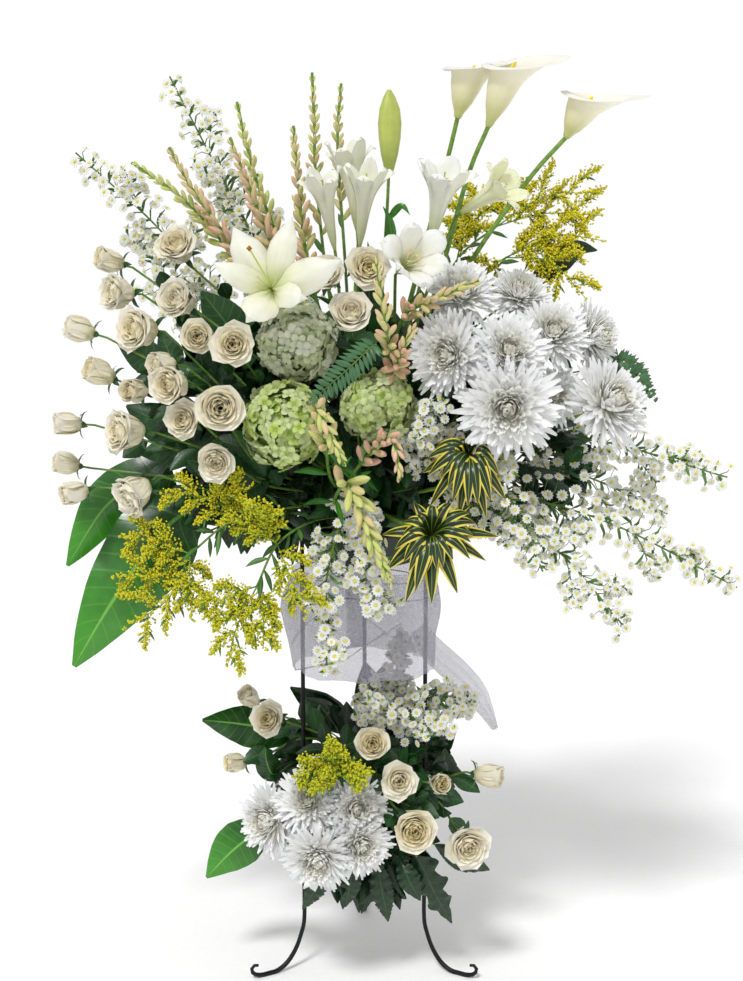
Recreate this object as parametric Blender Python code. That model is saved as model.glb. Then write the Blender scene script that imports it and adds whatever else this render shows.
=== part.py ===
"""A standing funeral spray: two tiers of cut flowers on a tripod stand of bent iron rod.

Metres, +Z up. The stand's upright axis is x = y = 0 while the pieces are made, and the flowers face -Y.
One empty then carries every piece, so that the world origin is the middle of the spray on the floor.
Each tier is a plastic bowl seated in a ring of the stand, with a block of wet floral foam in it.
Every bunch has a bundled stem, its peg, standing in a plain hole of the foam.
"""
import math
import random

import bmesh
import bpy
import numpy as np
from mathutils import Vector

# Place of the stand's axis in the finished part.
AXIS_PLACE = (-0.054, 0.048, 0.0)

# The gap kept between pieces that touch.
SEAT = 0.0003

# Stand: three rods on a circle, running down into scrolled feet, with a ring for each bowl.
ROD_CIRCLE = 0.114
ROD_RADIUS = 0.0034
ROD_TOP = 0.752
KNEE_Z = 0.085
FOOT_REACH = 0.186
LEG_ANGLES = {"left": 210.0, "right": 330.0, "back": 90.0}
RING_RADIUS = 0.003
# A six-sided bar lies nearer on its flats than on its corners by this share.
FLAT_SHARE = math.sin(math.pi / 3)
RING_CIRCLE = ROD_CIRCLE - ROD_RADIUS * FLAT_SHARE - RING_RADIUS - SEAT
RING_UPPER_Z = 0.735
RING_LOWER_Z = 0.245

# Bowls and foam.
BOWL_DEPTH = 0.055
BOWL_WALL = 0.002
BOWL_BODY = 0.1
BOWL_FLANGE = 0.1095
FLANGE_THICK = 0.003
# Height of a bowl's flange above the middle of its ring.
FLANGE_LIFT = RING_RADIUS * FLAT_SHARE + SEAT
FOAM_HALF_UPPER = 0.064
FOAM_HALF_LOWER = 0.06
FOAM_TOP_UPPER = 0.865
FOAM_TOP_LOWER = 0.36
FOAM_EDGE = 0.012

# Pegs: bundled stems in the foam, four-sided like the holes that hold them.
PEG_RADIUS = 0.0056
PEG_SIDES = 4
PEG_SUNK = 0.026
PEG_OUT = 0.012
PEG_CLEAR = 0.0004
HOLE_EXTRA = 0.002

# Net sleeve round the rods between the tiers.
NET_TOP = 0.672
NET_HEM = 0.502
# At the top the net is tied against the rods; its corner stands a little clear of their flats.
NET_INNER = ROD_CIRCLE + ROD_RADIUS * FLAT_SHARE + SEAT + 0.0006
NET_TUCK = 0.022
NET_WALL = 0.0022
NET_SIDES = 18

STEM = 0.0026
TWIG = 0.0011
TWIG_ROOT = 0.0015

# Faces that differ by less than this angle are joined after a union, in radians.
FLAT_ANGLE = 0.004

# Edges shorter than this are closed up, in metres.
SHORTEST_EDGE = 0.00006

# Share of the faces kept after that.
KEEP_ROSES = 0.525
KEEP_MUMS = 0.56
KEEP_SPIKES = 0.44
KEEP_DAISIES = 0.36
KEEP_PLUMES = 0.48
KEEP_LEAVES = 0.41
KEEP_LILIES = 0.42
KEEP_BALLS = 0.76

GOLDEN_ANGLE = math.pi * (3.0 - math.sqrt(5.0))
FLORET_GAP = 0.40

COLOURS = {
    "iron": (0.012, 0.012, 0.013),
    "bowl": (0.03, 0.055, 0.03),
    "foam": (0.06, 0.14, 0.07),
    "net": (0.72, 0.70, 0.78),
    "rose": (0.86, 0.82, 0.66),
    "white": (0.88, 0.89, 0.87),
    "lily": (0.88, 0.88, 0.82),
    "calla": (0.90, 0.90, 0.84),
    "lime": (0.56, 0.70, 0.30),
    "bud": (0.42, 0.50, 0.16),
    "tuberose": (0.66, 0.56, 0.42),
    "aster": (0.85, 0.87, 0.80),
    "yellow": (0.75, 0.58, 0.05),
    "dark_leaf": (0.03, 0.09, 0.03),
    "leaf": (0.07, 0.22, 0.05),
    "striped": (0.30, 0.32, 0.08),
    "fern": (0.12, 0.24, 0.16),
}


def clear_scene():
    """Remove whatever the file holds."""
    for thing in list(bpy.data.objects):
        bpy.data.objects.remove(thing)


def material(name, roughness=0.6, metallic=0.0):
    """A Principled material in one of the named colours."""
    made = bpy.data.materials.new(name)
    made.use_nodes = True
    shader = made.node_tree.nodes["Principled BSDF"]
    shader.inputs["Base Color"].default_value = (*COLOURS[name], 1.0)
    shader.inputs["Roughness"].default_value = roughness
    shader.inputs["Metallic"].default_value = metallic
    return made


def unit(v):
    """The vector v at length one."""
    v = np.asarray(v, float)
    return v / np.linalg.norm(v)


def turned_frame(axis):
    """Two unit vectors square to the axis and to each other."""
    axis = unit(axis)
    helper = np.array([0.0, 0.0, 1.0]) if abs(axis[2]) < 0.9 else np.array([0.0, 1.0, 0.0])
    side = unit(np.cross(helper, axis))
    return side, np.cross(axis, side)


def outward(verts, faces):
    """The closed solid with its faces turned so that its volume is positive."""
    verts = np.asarray(verts, float)
    volume = 0.0
    for face in faces:
        for i in range(1, len(face) - 1):
            volume += np.dot(verts[face[0]], np.cross(verts[face[i]], verts[face[i + 1]]))
    if volume < 0.0:
        faces = [tuple(reversed(face)) for face in faces]
    return verts, faces


def loft(rings, start=None, end=None, alike=False):
    """A closed solid through rings of equal count, ended by a point or by a flat cap.

    Where alike is set, the second half of each ring is the back of a blade, split like its front.
    """
    count = len(rings[0])
    verts = [point for ring in rings for point in ring]
    faces = []
    for k in range(len(rings) - 1):
        for i in range(count):
            j = (i + 1) % count
            a, b = k * count + i, k * count + j
            if alike and i >= count // 2:
                faces.append((a, b, a + count))
                faces.append((b, b + count, a + count))
            else:
                faces.append((a, b, b + count))
                faces.append((a, b + count, a + count))
    last = (len(rings) - 1) * count
    for point, first, turn in ((start, 0, 1), (end, last, -1)):
        loop = [first + i for i in range(count)]
        if point is None:
            faces.append(tuple(loop[::-turn]))
            continue
        verts.append(point)
        tip = len(verts) - 1
        for i in range(count):
            pair = (loop[(i + 1) % count], loop[i])
            faces.append((tip, *pair[::turn]))
    return outward(verts, faces)


def tube(points, radii, sides=4):
    """A tapered tube along a path: each ring lies square to the path where it stands."""
    points = [np.asarray(p, float) for p in points]
    if not hasattr(radii, "__len__"):
        radii = [radii] * len(points)
    side = None
    rings = []
    for i, point in enumerate(points):
        ahead = points[min(i + 1, len(points) - 1)]
        behind = points[max(i - 1, 0)]
        along = unit(ahead - behind)
        if side is None:
            side, _ = turned_frame(along)
        side = unit(side - along * np.dot(side, along))
        other = np.cross(along, side)
        angles = [math.tau * (k + 0.5) / sides for k in range(sides)]
        rings.append([point + radii[i] * (math.cos(a) * side + math.sin(a) * other) for a in angles])
    return loft(rings)


def bend(points, steps=3):
    """A smooth path through hand-placed points (Catmull-Rom), with a few steps between each two."""
    pts = [np.asarray(p, float) for p in points]
    full = [2 * pts[0] - pts[1], *pts, 2 * pts[-1] - pts[-2]]
    path = []
    for i in range(1, len(full) - 2):
        a, b, c, d = full[i - 1 : i + 3]
        for s in range(steps):
            t = s / steps
            lift = 2 * b + (c - a) * t + (2 * a - 5 * b + 4 * c - d) * t**2 + (3 * b - a - 3 * c + d) * t**3
            path.append(lift / 2)
    path.append(pts[-1])
    return path


def spindle(base, tip, radius, sides=4, belly=0.5):
    """A bud or twig: two points joined over one ring."""
    base, tip = np.asarray(base, float), np.asarray(tip, float)
    side, other = turned_frame(tip - base)
    middle = base + belly * (tip - base)
    angles = [math.tau * (k + 0.5) / sides for k in range(sides)]
    ring = [middle + radius * (math.cos(a) * side + math.sin(a) * other) for a in angles]
    return loft([ring], start=base, end=tip)


def blade(spine, widths, thick=0.0016, droop=0.25, face=(0.0, -1.0, 0.3)):
    """A leaf or petal: along the spine a flat diamond section, its two edges bent back by droop."""
    spine = [np.asarray(p, float) for p in spine]
    face = unit(face)
    rings = []
    for i in range(1, len(spine) - 1):
        along = unit(spine[i + 1] - spine[i - 1])
        across = unit(np.cross(along, face))
        normal = np.cross(across, along)
        half = widths[i - 1] / 2
        back = -droop * half * normal
        ridge = normal * max(thick, 0.0012) / 2
        rings.append([spine[i] + across * half + back, spine[i] + ridge,
                      spine[i] - across * half + back, spine[i] - ridge])
    return loft(rings, start=spine[0], end=spine[-1], alike=True)


def broad_leaf(spine, outline, width, face, thick=0.0018, droop=0.2, wave=0.10):
    """A large leaf: its half width follows the outline along the spine, and its edges rise and fall.

    The edge goes up by wave times the half width at one station and down at the next.
    """
    path = np.array(bend(spine, 5))
    lengths = np.concatenate([[0.0], np.cumsum(np.linalg.norm(np.diff(path, axis=0), axis=1))])
    count = len(outline) + 1
    points = [np.array([np.interp(lengths[-1] * k / count, lengths, path[:, c]) for c in range(3)])
              for k in range(count + 1)]
    face = unit(face)
    rings = []
    for k in range(1, count):
        along = unit(points[k + 1] - points[k - 1])
        across = unit(np.cross(along, face))
        normal = np.cross(across, along)
        half = 0.5 * width * outline[k - 1]
        lift = half * ((wave if k % 2 else -wave) - droop)
        fall = half * ((-wave if k % 2 else wave) - droop)
        ridge = normal * thick / 2
        rings.append([points[k] + across * half + lift * normal, points[k] + ridge,
                      points[k] - across * half + fall * normal, points[k] - ridge])
    return loft(rings, start=points[0], end=points[-1], alike=True)


def crown_head(centre, axis, size, rings, petals, turn=0.0):
    """A flower head of nested crowns, as one closed solid.

    Each entry of rings is (kind, radius, height[, notch radius, notch height]) in units of the head's
    radius. A "tips" ring has a high tip and a notch for each petal, a "ring" has one point for each.
    Each crown stands half a petal round from the one outside it.
    """
    side, other = turned_frame(axis)
    axis = unit(axis)
    centre = np.asarray(centre, float)
    radius = size / 2

    def place(angle, out, height):
        return centre + radius * (out * (math.cos(angle) * side + math.sin(angle) * other) + height * axis)

    verts, faces, phase = [], [], turn
    previous, kind_before = None, None
    step = math.tau / petals
    for kind, *shape in rings:
        first = len(verts)
        if kind == "ring":
            if kind_before == "tips":
                phase += step / 2
            verts += [place(phase + (i - 0.5) * step, shape[0], shape[1]) for i in range(petals)]
            if kind_before == "ring":
                for i in range(petals):
                    j = (i + 1) % petals
                    faces.append((previous + i, previous + j, first + j))
                    faces.append((previous + i, first + j, first + i))
            elif kind_before == "tips":
                for i in range(petals):
                    tip, notch, after = 2 * i, 2 * i + 1, (2 * i + 2) % (2 * petals)
                    j = (i + 1) % petals
                    faces.append((previous + tip, previous + notch, first + i))
                    faces.append((previous + notch, first + j, first + i))
                    faces.append((previous + notch, previous + after, first + j))
        else:
            for i in range(petals):
                verts.append(place(phase + i * step, shape[0], shape[1]))
                verts.append(place(phase + (i + 0.5) * step, shape[2], shape[3]))
            for i in range(petals):
                j = (i + 1) % petals
                tip, notch, before = first + 2 * i, first + 2 * i + 1, first + (2 * i - 1) % (2 * petals)
                faces.append((previous + i, tip, before))
                faces.append((previous + i, previous + j, tip))
                faces.append((previous + j, notch, tip))
        previous, kind_before = first, kind
    faces.insert(0, tuple(reversed(range(petals))))
    last = list(range(previous, len(verts)))
    if kind_before == "tips":
        top = np.mean([verts[i] for i in last[1::2]], axis=0) - 0.1 * radius * axis
        verts.append(top)
        faces += [(last[i], last[(i + 1) % len(last)], len(verts) - 1) for i in range(len(last))]
    else:
        faces.append(tuple(last))
    return outward(verts, faces)


OPEN_ROSE = (
    ("ring", 0.34, -0.55),
    ("tips", 1.0, 0.32, 0.84, 0.16),
    ("ring", 0.66, 0.02),
    ("tips", 0.72, 0.60, 0.58, 0.46),
    ("ring", 0.42, 0.26),
    ("tips", 0.38, 0.74, 0.28, 0.62),
)
HALF_ROSE = (
    ("ring", 0.36, -0.85),
    ("tips", 0.92, 0.55, 0.80, 0.34),
    ("ring", 0.60, 0.30),
    ("tips", 0.52, 0.92, 0.40, 0.78),
)
MUM = (
    ("ring", 0.30, -0.30),
    ("tips", 1.0, -0.10, 0.56, 0.02),
    ("ring", 0.60, 0.10),
    ("tips", 0.84, 0.34, 0.44, 0.24),
    ("ring", 0.42, 0.30),
    ("tips", 0.50, 0.60, 0.26, 0.44),
)
TRUMPET = (
    ("ring", 0.14, -2.2),
    ("ring", 0.36, -0.9),
    ("tips", 1.0, 0.0, 0.66, -0.30),
    ("ring", 0.22, -0.8),
)
MUM_PETALS = 8
ROSE_PETALS = 5


def rose(place, size, facing, opened=True, turn=0.0):
    """A rose head of petals in layers."""
    return crown_head(place, facing, size, OPEN_ROSE if opened else HALF_ROSE, ROSE_PETALS, turn)


def mum(place, size, facing, petals=MUM_PETALS, turn=0.0):
    """A chrysanthemum head: a low dome of three layers of pointed petals."""
    return crown_head(place, facing, size, MUM, petals, turn)


def trumpet(mouth, base, size, turn=0.0):
    """A trumpet lily: a long six-petalled funnel, open at its mouth."""
    mouth, base = np.asarray(mouth, float), np.asarray(base, float)
    length = np.linalg.norm(mouth - base) / (size / 2)
    rings = (("ring", 0.14, -length), ("ring", 0.34, -0.45 * length), *TRUMPET[2:])
    return crown_head(mouth, mouth - base, size, rings, 6, turn)


def floret_ball(centre, size, count, relief=0.17):
    """A mophead of florets: points spread evenly on a ball (Fibonacci spiral), single ones raised.

    A point is raised where no raised one lies nearer than the floret gap, on a ball of radius one.
    """
    centre = np.asarray(centre, float)
    shape = bmesh.new()
    for i in range(count):
        height = 1.0 - 2.0 * (i + 0.5) / count
        ring = math.sqrt(1.0 - height * height)
        angle = GOLDEN_ANGLE * i
        shape.verts.new((ring * math.cos(angle), ring * math.sin(angle), height))
    bmesh.ops.convex_hull(shape, input=shape.verts)
    shape.verts.ensure_lookup_table()
    shape.verts.index_update()
    verts, raised = [], []
    for vert in shape.verts:
        point = np.array(vert.co)
        alone = all(np.linalg.norm(point - other) > FLORET_GAP for other in raised)
        if alone:
            raised.append(point)
        verts.append(centre + size / 2 * (1.0 if alone else 1.0 - relief) * point)
    faces = [tuple(v.index for v in face.verts) for face in shape.faces]
    shape.free()
    return outward(verts, faces)


def daisy(root, centre, facing, size):
    """A small daisy on its twig: a three-sided twig that opens to a six-cornered rim with a raised eye."""
    root, centre = np.asarray(root, float), np.asarray(centre, float)
    twig = unit(centre - root)
    facing = unit(facing)
    facing = unit(facing + max(0.0, 0.5 - np.dot(facing, twig)) * twig)
    neck = centre - 0.30 * size * facing
    verts = []
    side, other = turned_frame(twig)
    for middle, thick, way in ((root, TWIG_ROOT, twig), (neck, TWIG, facing)):
        side = unit(side - np.dot(side, way) * way)
        other = np.cross(way, side)
        for k in range(3):
            angle = math.tau * (k - 0.5) / 3
            verts.append(middle + thick * (math.cos(angle) * side + math.sin(angle) * other))
    for k in range(6):
        angle = math.tau * k / 6
        reach = size / 2 * (1.0 if k % 2 == 0 else 0.80)
        verts.append(centre + reach * (math.cos(angle) * side + math.sin(angle) * other))
    verts.append(centre + 0.12 * size * facing)
    faces = [(2, 1, 0)]
    for k in range(3):
        j = (k + 1) % 3
        tip, notch, before = 6 + 2 * k, 7 + 2 * k, 6 + (2 * k - 1) % 6
        faces += [(k, j, 3 + j), (k, 3 + j, 3 + k)]
        faces += [(3 + k, tip, before), (3 + k, 3 + j, tip), (3 + j, notch, tip)]
    for k in range(6):
        faces.append((6 + k, 6 + (k + 1) % 6, 12))
    return outward(verts, faces)


def mesh_object(name, solid, collection):
    """An object holding one closed solid."""
    verts, faces = solid
    mesh = bpy.data.meshes.new(name)
    mesh.from_pydata([tuple(v) for v in verts], [], faces)
    mesh.update()
    made = bpy.data.objects.new(name, mesh)
    collection.objects.link(made)
    return made


def close_short_edges(shape):
    """Collapse the shortest edges, one by one, wherever the surface round them stays closed."""
    short = [edge for edge in shape.edges if edge.calc_length() < SHORTEST_EDGE]
    for edge in short:
        if not edge.is_valid or edge.calc_length() >= SHORTEST_EDGE:
            continue
        first, second = edge.verts
        about_first = {e.other_vert(first) for e in first.link_edges}
        about_second = {e.other_vert(second) for e in second.link_edges}
        near = about_first & about_second
        if len(near) == 2:
            bmesh.ops.collapse(shape, edges=[edge])


def keep_outer_shell(mesh):
    """Keep the largest body: sealed hollows are filled and loose scraps dropped."""
    shape = bmesh.new()
    shape.from_mesh(mesh)
    bmesh.ops.dissolve_limit(shape, angle_limit=FLAT_ANGLE, verts=shape.verts, edges=shape.edges)
    bmesh.ops.triangulate(shape, faces=shape.faces)
    close_short_edges(shape)
    seen, bodies = set(), []
    for first in shape.verts:
        if first in seen:
            continue
        body, stack = [], [first]
        seen.add(first)
        while stack:
            vert = stack.pop()
            body.append(vert)
            for edge in vert.link_edges:
                other = edge.other_vert(vert)
                if other not in seen:
                    seen.add(other)
                    stack.append(other)
        bodies.append(body)
    bodies.sort(key=len, reverse=True)
    loose = [vert for body in bodies[1:] for vert in body]
    bmesh.ops.delete(shape, geom=loose, context="VERTS")
    shape.to_mesh(mesh)
    shape.free()


def evaluated(made):
    """The object's mesh as its modifiers leave it, which are then cleared."""
    graph = bpy.context.evaluated_depsgraph_get()
    mesh = bpy.data.meshes.new_from_object(made.evaluated_get(graph))
    made.modifiers.clear()
    made.data = mesh
    mesh.name = made.name
    return mesh


def union(made, solids):
    """Join closed solids to an object with one Boolean union on a collection."""
    scene = bpy.context.scene.collection
    operands = bpy.data.collections.new(made.name + "_pieces")
    scene.children.link(operands)
    for solid in solids:
        mesh_object(made.name + "_piece", solid, operands)
    join = made.modifiers.new("union", "BOOLEAN")
    join.operation = "UNION"
    join.operand_type = "COLLECTION"
    join.collection = operands
    join.solver = "MANIFOLD"
    evaluated(made)
    for piece in list(operands.objects):
        bpy.data.objects.remove(piece)
    bpy.data.collections.remove(operands)
    keep_outer_shell(made.data)


def fuse(name, solids, finish, keep=1.0):
    """Make a node of closed solids, the first of them its peg.

    A union leaves many small faces where stems meet, so of all but the peg only the share keep of
    the faces stays: Decimate takes the flattest and smallest first. The peg, which has to fit its
    hole, is joined last and stays as it is.
    """
    scene = bpy.context.scene.collection
    if keep < 1.0:
        made = mesh_object(name, solids[1], scene)
        union(made, solids[2:])
        fewer = made.modifiers.new("fewer", "DECIMATE")
        fewer.ratio = keep
        fewer.use_collapse_triangulate = True
        evaluated(made)
        union(made, solids[:1])
    else:
        made = mesh_object(name, solids[0], scene)
        if len(solids) > 1:
            union(made, solids[1:])
    made.data.materials.clear()
    made.data.materials.append(finish)
    return made


# Pegs and the foam's holes. A face of the foam is named by the way it looks.
FACES = {
    "top": ((0.0, 0.0, 1.0), (1.0, 0.0, 0.0), (0.0, 1.0, 0.0)),
    "front": ((0.0, -1.0, 0.0), (1.0, 0.0, 0.0), (0.0, 0.0, 1.0)),
    "back": ((0.0, 1.0, 0.0), (1.0, 0.0, 0.0), (0.0, 0.0, 1.0)),
    "left": ((-1.0, 0.0, 0.0), (0.0, 1.0, 0.0), (0.0, 0.0, 1.0)),
    "right": ((1.0, 0.0, 0.0), (0.0, 1.0, 0.0), (0.0, 0.0, 1.0)),
}
TIERS = {
    "upper": (FOAM_HALF_UPPER, FOAM_TOP_UPPER),
    "lower": (FOAM_HALF_LOWER, FOAM_TOP_LOWER),
}
holes = {"upper": [], "lower": []}


def peg_rod(start, end, radius, face):
    """A rod whose corners follow the foam face's own directions, so that rod and hole agree."""
    _, u, v = (np.array(d) for d in FACES[face])
    rings = []
    for point in (start, end):
        angles = [math.tau * k / PEG_SIDES for k in range(PEG_SIDES)]
        rings.append([np.asarray(point) + radius * (math.cos(a) * u + math.sin(a) * v) for a in angles])
    return loft(rings)


def peg(tier, face, u, v, radius=PEG_RADIUS):
    """The bundled stem in the foam at (u, v) of a face: its solid, its outer end and its way out.

    On the top face (u, v) is (x, y); on the others v is the height z.
    """
    half, top = TIERS[tier]
    normal, along_u, along_v = (np.array(d) for d in FACES[face])
    lift = top if face == "top" else half
    surface = normal * lift + u * along_u + v * along_v
    inner = surface - normal * PEG_SUNK
    outer = surface + normal * PEG_OUT
    holes[tier].append((face, inner - normal * PEG_CLEAR, surface + normal * HOLE_EXTRA,
                        radius + PEG_CLEAR))
    return peg_rod(inner, outer, radius, face), outer, normal


def stem_from(root, normal, points, radius=STEM, sides=3, steps=2):
    """A stem that leaves the peg's outer end and follows hand-placed points."""
    start = root - normal * 0.006
    path = bend([start, *points], steps)
    taper = [radius * (1.0 - 0.25 * i / (len(path) - 1)) for i in range(len(path))]
    return tube(path, taper, sides)


def leaf_on(point, tip, width, face=(0.0, -1.0, 0.4)):
    """A small leaf from a point on a stem to its tip."""
    point, tip = np.asarray(point, float), np.asarray(tip, float)
    middle = 0.5 * (point + tip)
    return blade([point, middle, tip], [width], 0.0016, 0.2, face)


def rose_bunch(name, where, roses, finish):
    """Roses on one bundled stem. Each row: via points, head place, size, facing, opened, leaf.

    The leaf is None, or its place as a share of the stem's last stretch, and its tip.
    """
    base, root, normal = peg(*where)
    solids = [base]
    for i, (via, place, size, facing, opened, leaf) in enumerate(roses):
        facing = unit(facing)
        foot = np.array(place) - facing * size * (0.22 if opened else 0.38)
        low = foot - facing * 0.012
        solids.append(stem_from(root, normal, [*via, low, foot], steps=1))
        solids.append(rose(place, size, facing, opened, turn=0.7 * i))
        if leaf is not None:
            share, tip = leaf
            solids.append(leaf_on(np.array(via[-1]) * (1.0 - share) + low * share, tip, 0.030))
    return fuse(name, solids, finish, KEEP_ROSES)


def mum_bunch(name, where, heads, finish, petals=MUM_PETALS):
    """Chrysanthemums on one bundled stem. Each row: via points, head place, size, facing."""
    base, root, normal = peg(*where)
    solids = [base]
    for i, (via, place, size, facing) in enumerate(heads):
        facing = unit(facing)
        foot = np.array(place) - facing * size * 0.12
        solids.append(stem_from(root, normal, [*via, foot - facing * 0.015, foot], steps=1))
        solids.append(mum(place, size, facing, petals, turn=0.9 * i))
    return fuse(name, solids, finish, KEEP_MUMS)


def spike(path, buds, first, widest, turn=0.0):
    """A tuberose spike: buds in a spiral up the stem's last stretch, smaller towards the tip."""
    path = bend(path, 2)
    solids = [tube(path, [0.0031 - 0.0014 * i / (len(path) - 1) for i in range(len(path))], 3)]
    points = np.array(path)
    lengths = np.concatenate([[0.0], np.cumsum(np.linalg.norm(np.diff(points, axis=0), axis=1))])
    for k in range(buds):
        share = first + (1.0 - first) * k / (buds - 0.5)
        at = share * lengths[-1]
        where = np.array([np.interp(at, lengths, points[:, c]) for c in range(3)])
        ahead = np.array([np.interp(min(at + 0.01, lengths[-1]), lengths, points[:, c]) for c in range(3)])
        along = unit(ahead - where) if np.linalg.norm(ahead - where) > 1e-6 else unit(points[-1] - points[-2])
        side, other = turned_frame(along)
        angle = turn + 2.3 * k
        out = math.cos(angle) * side + math.sin(angle) * other
        shrink = 1.0 - 0.55 * k / buds
        tip = where + widest * shrink * (2.0 * along + 1.25 * out)
        solids.append(spindle(where + 0.0004 * out, tip, widest * 0.52 * shrink, 3, 0.6))
    return solids


def spike_bunch(name, where, spikes, finish):
    """Tuberose spikes on one bundled stem. Each row: stem points, buds, share bare of buds, bud size."""
    base, root, normal = peg(*where)
    solids = [base]
    for i, (points, buds, first, widest) in enumerate(spikes):
        solids += spike([root - normal * 0.006, *points], buds, first, widest, turn=1.1 * i)
    return fuse(name, solids, finish, KEEP_SPIKES)


def daisy_spray(points, count, spread, first, size, draw, facing=(0.0, -1.0, 0.25)):
    """A spray of small daisies: side twigs drawn at random round the stem, each with a flower."""
    path = bend(points, 2)
    solids = [tube(path, [0.0026 - 0.0010 * i / (len(path) - 1) for i in range(len(path))], 3)]
    pts = np.array(path)
    lengths = np.concatenate([[0.0], np.cumsum(np.linalg.norm(np.diff(pts, axis=0), axis=1))])
    for k in range(count):
        at = lengths[-1] * (first + (0.985 - first) * k / (count - 1))
        where = np.array([np.interp(at, lengths, pts[:, c]) for c in range(3)])
        ahead = np.array([np.interp(min(at + 0.01, lengths[-1]), lengths, pts[:, c]) for c in range(3)])
        along = unit(ahead - where) if np.linalg.norm(ahead - where) > 1e-6 else unit(pts[-1] - pts[-2])
        side, other = turned_frame(along)
        angle = 2.4 * k + draw.uniform(-0.5, 0.5)
        out = math.cos(angle) * side + math.sin(angle) * other
        reach = spread * draw.uniform(0.65, 1.0) * (1.0 - 0.45 * k / count)
        flower = where + reach * (out + 0.55 * along)
        look = unit(0.6 * out + np.array(facing))
        solids.append(daisy(where - 0.0006 * out, flower + 0.15 * size * look, look, size))
    return solids


def daisy_bunch(name, where, sprays, finish, seed):
    """Daisy sprays on one bundled stem. Each row: stem points, flowers, spread, share bare, flower size."""
    draw = random.Random(seed)
    base, root, normal = peg(*where)
    solids = [base]
    for points, count, spread, first, size in sprays:
        solids += daisy_spray([root - normal * 0.006, *points], count, spread, first, size, draw)
    return fuse(name, solids, finish, KEEP_DAISIES)


def plume(points, beads, thick):
    """A goldenrod arm: a tapering stalk of three sides, beaded with florets."""
    pts = np.array(bend(points, 4))
    lengths = np.concatenate([[0.0], np.cumsum(np.linalg.norm(np.diff(pts, axis=0), axis=1))])
    path, radii = [], []
    count = 2 * beads + 1
    for k in range(count):
        at = lengths[-1] * k / (count - 1)
        path.append([np.interp(at, lengths, pts[:, c]) for c in range(3)])
        grown = thick * (1.0 - 0.5 * k / count)
        radii.append(grown if k % 2 else 0.42 * grown)
    radii[0] = 0.0012
    radii[-1] = 0.0008
    return tube(path, radii, 3)


def plume_bunch(name, where, stems, finish):
    """Goldenrod on one bundled stem. Each row: the stem's points, then its arms, each a list of points."""
    base, root, normal = peg(*where)
    solids = [base]
    for points, arms, beads, thick in stems:
        solids.append(stem_from(root, normal, points, 0.0020, 3, steps=1))
        for arm in arms:
            solids.append(plume(arm, beads, thick))
    return fuse(name, solids, finish, KEEP_PLUMES)


def leaf_bunch(name, where, leaves, finish, stalk=0.0022):
    """Leaves on one bundled stem. Each row: stalk points, spine points after the stalk, widths, facing."""
    base, root, normal = peg(*where)
    solids = [base]
    for via, spine, widths, face, thick, droop in leaves:
        solids.append(stem_from(root, normal, [*via, spine[0], spine[1]], stalk, 3, steps=1))
        solids.append(blade(spine, widths, thick, droop, face))
    return fuse(name, solids, finish, KEEP_LEAVES)


# Half width of a large leaf at even steps from its stalk to its tip, as a share of the widest.
HEART = (0.72, 0.96, 1.0, 0.90, 0.74, 0.52, 0.26)
OVAL = (0.52, 0.88, 1.0, 0.82, 0.44)


def large_leaf(name, where, leaves, finish):
    """Large leaves on one stalk. Each row: stalk points, spine points, outline, width, facing."""
    base, root, normal = peg(*where)
    solids = [base]
    for via, spine, outline, width, face in leaves:
        solids.append(stem_from(root, normal, [*via, spine[0], spine[1]], 0.0022, 3, steps=1))
        solids.append(broad_leaf(spine, outline, width, face))
    return fuse(name, solids, finish)


def rosette(centre, facing, tips, rise, width, thick=0.0018):
    """Long arching leaves from one centre: each rises, then falls to its tip."""
    centre = np.asarray(centre, float)
    facing = unit(facing)
    solids = [spindle(centre - 0.012 * facing, centre + 0.010 * facing, 0.0075, 5)]
    for tip in tips:
        tip = np.asarray(tip, float)
        near = centre + 0.35 * (tip - centre) + rise * facing
        far = centre + 0.72 * (tip - centre) + 0.75 * rise * facing
        solids.append(blade([centre, near, far, tip], [width, 0.85 * width], thick, 0.2, facing))
    return solids


def frond(spine, width, leaflets, thick=0.0014, face=(0.0, -1.0, 0.2)):
    """A fern frond: one thin arched blade whose outline is cut in and out to the rib."""
    path = np.array(bend(spine, 6))
    lengths = np.concatenate([[0.0], np.cumsum(np.linalg.norm(np.diff(path, axis=0), axis=1))])
    count = 2 * leaflets + 1
    points, widths = [], []
    for k in range(count + 1):
        at = lengths[-1] * k / count
        points.append([np.interp(at, lengths, path[:, c]) for c in range(3)])
        swell = math.sin(math.pi * min(1.0, 0.12 + 0.88 * k / count)) ** 0.7
        widths.append(width * swell * (1.0 if k % 2 else 0.34) + 0.002)
    return blade(points, widths[1:-1], thick, 0.15, face)


def turned_ring(circle, radius, z, sides=18, around=6):
    """A welded ring of round bar."""
    verts, faces = [], []
    for i in range(sides):
        angle = math.tau * (i + 0.5) / sides
        for k in range(around):
            tilt = math.tau * k / around
            out = circle + radius * math.cos(tilt)
            verts.append((out * math.cos(angle), out * math.sin(angle), z + radius * math.sin(tilt)))
    for i in range(sides):
        for k in range(around):
            a, b = i * around + k, i * around + (k + 1) % around
            c, d = (a + around) % len(verts), (b + around) % len(verts)
            faces += [(a, c, d), (a, d, b)]
    return outward(verts, faces)


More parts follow.
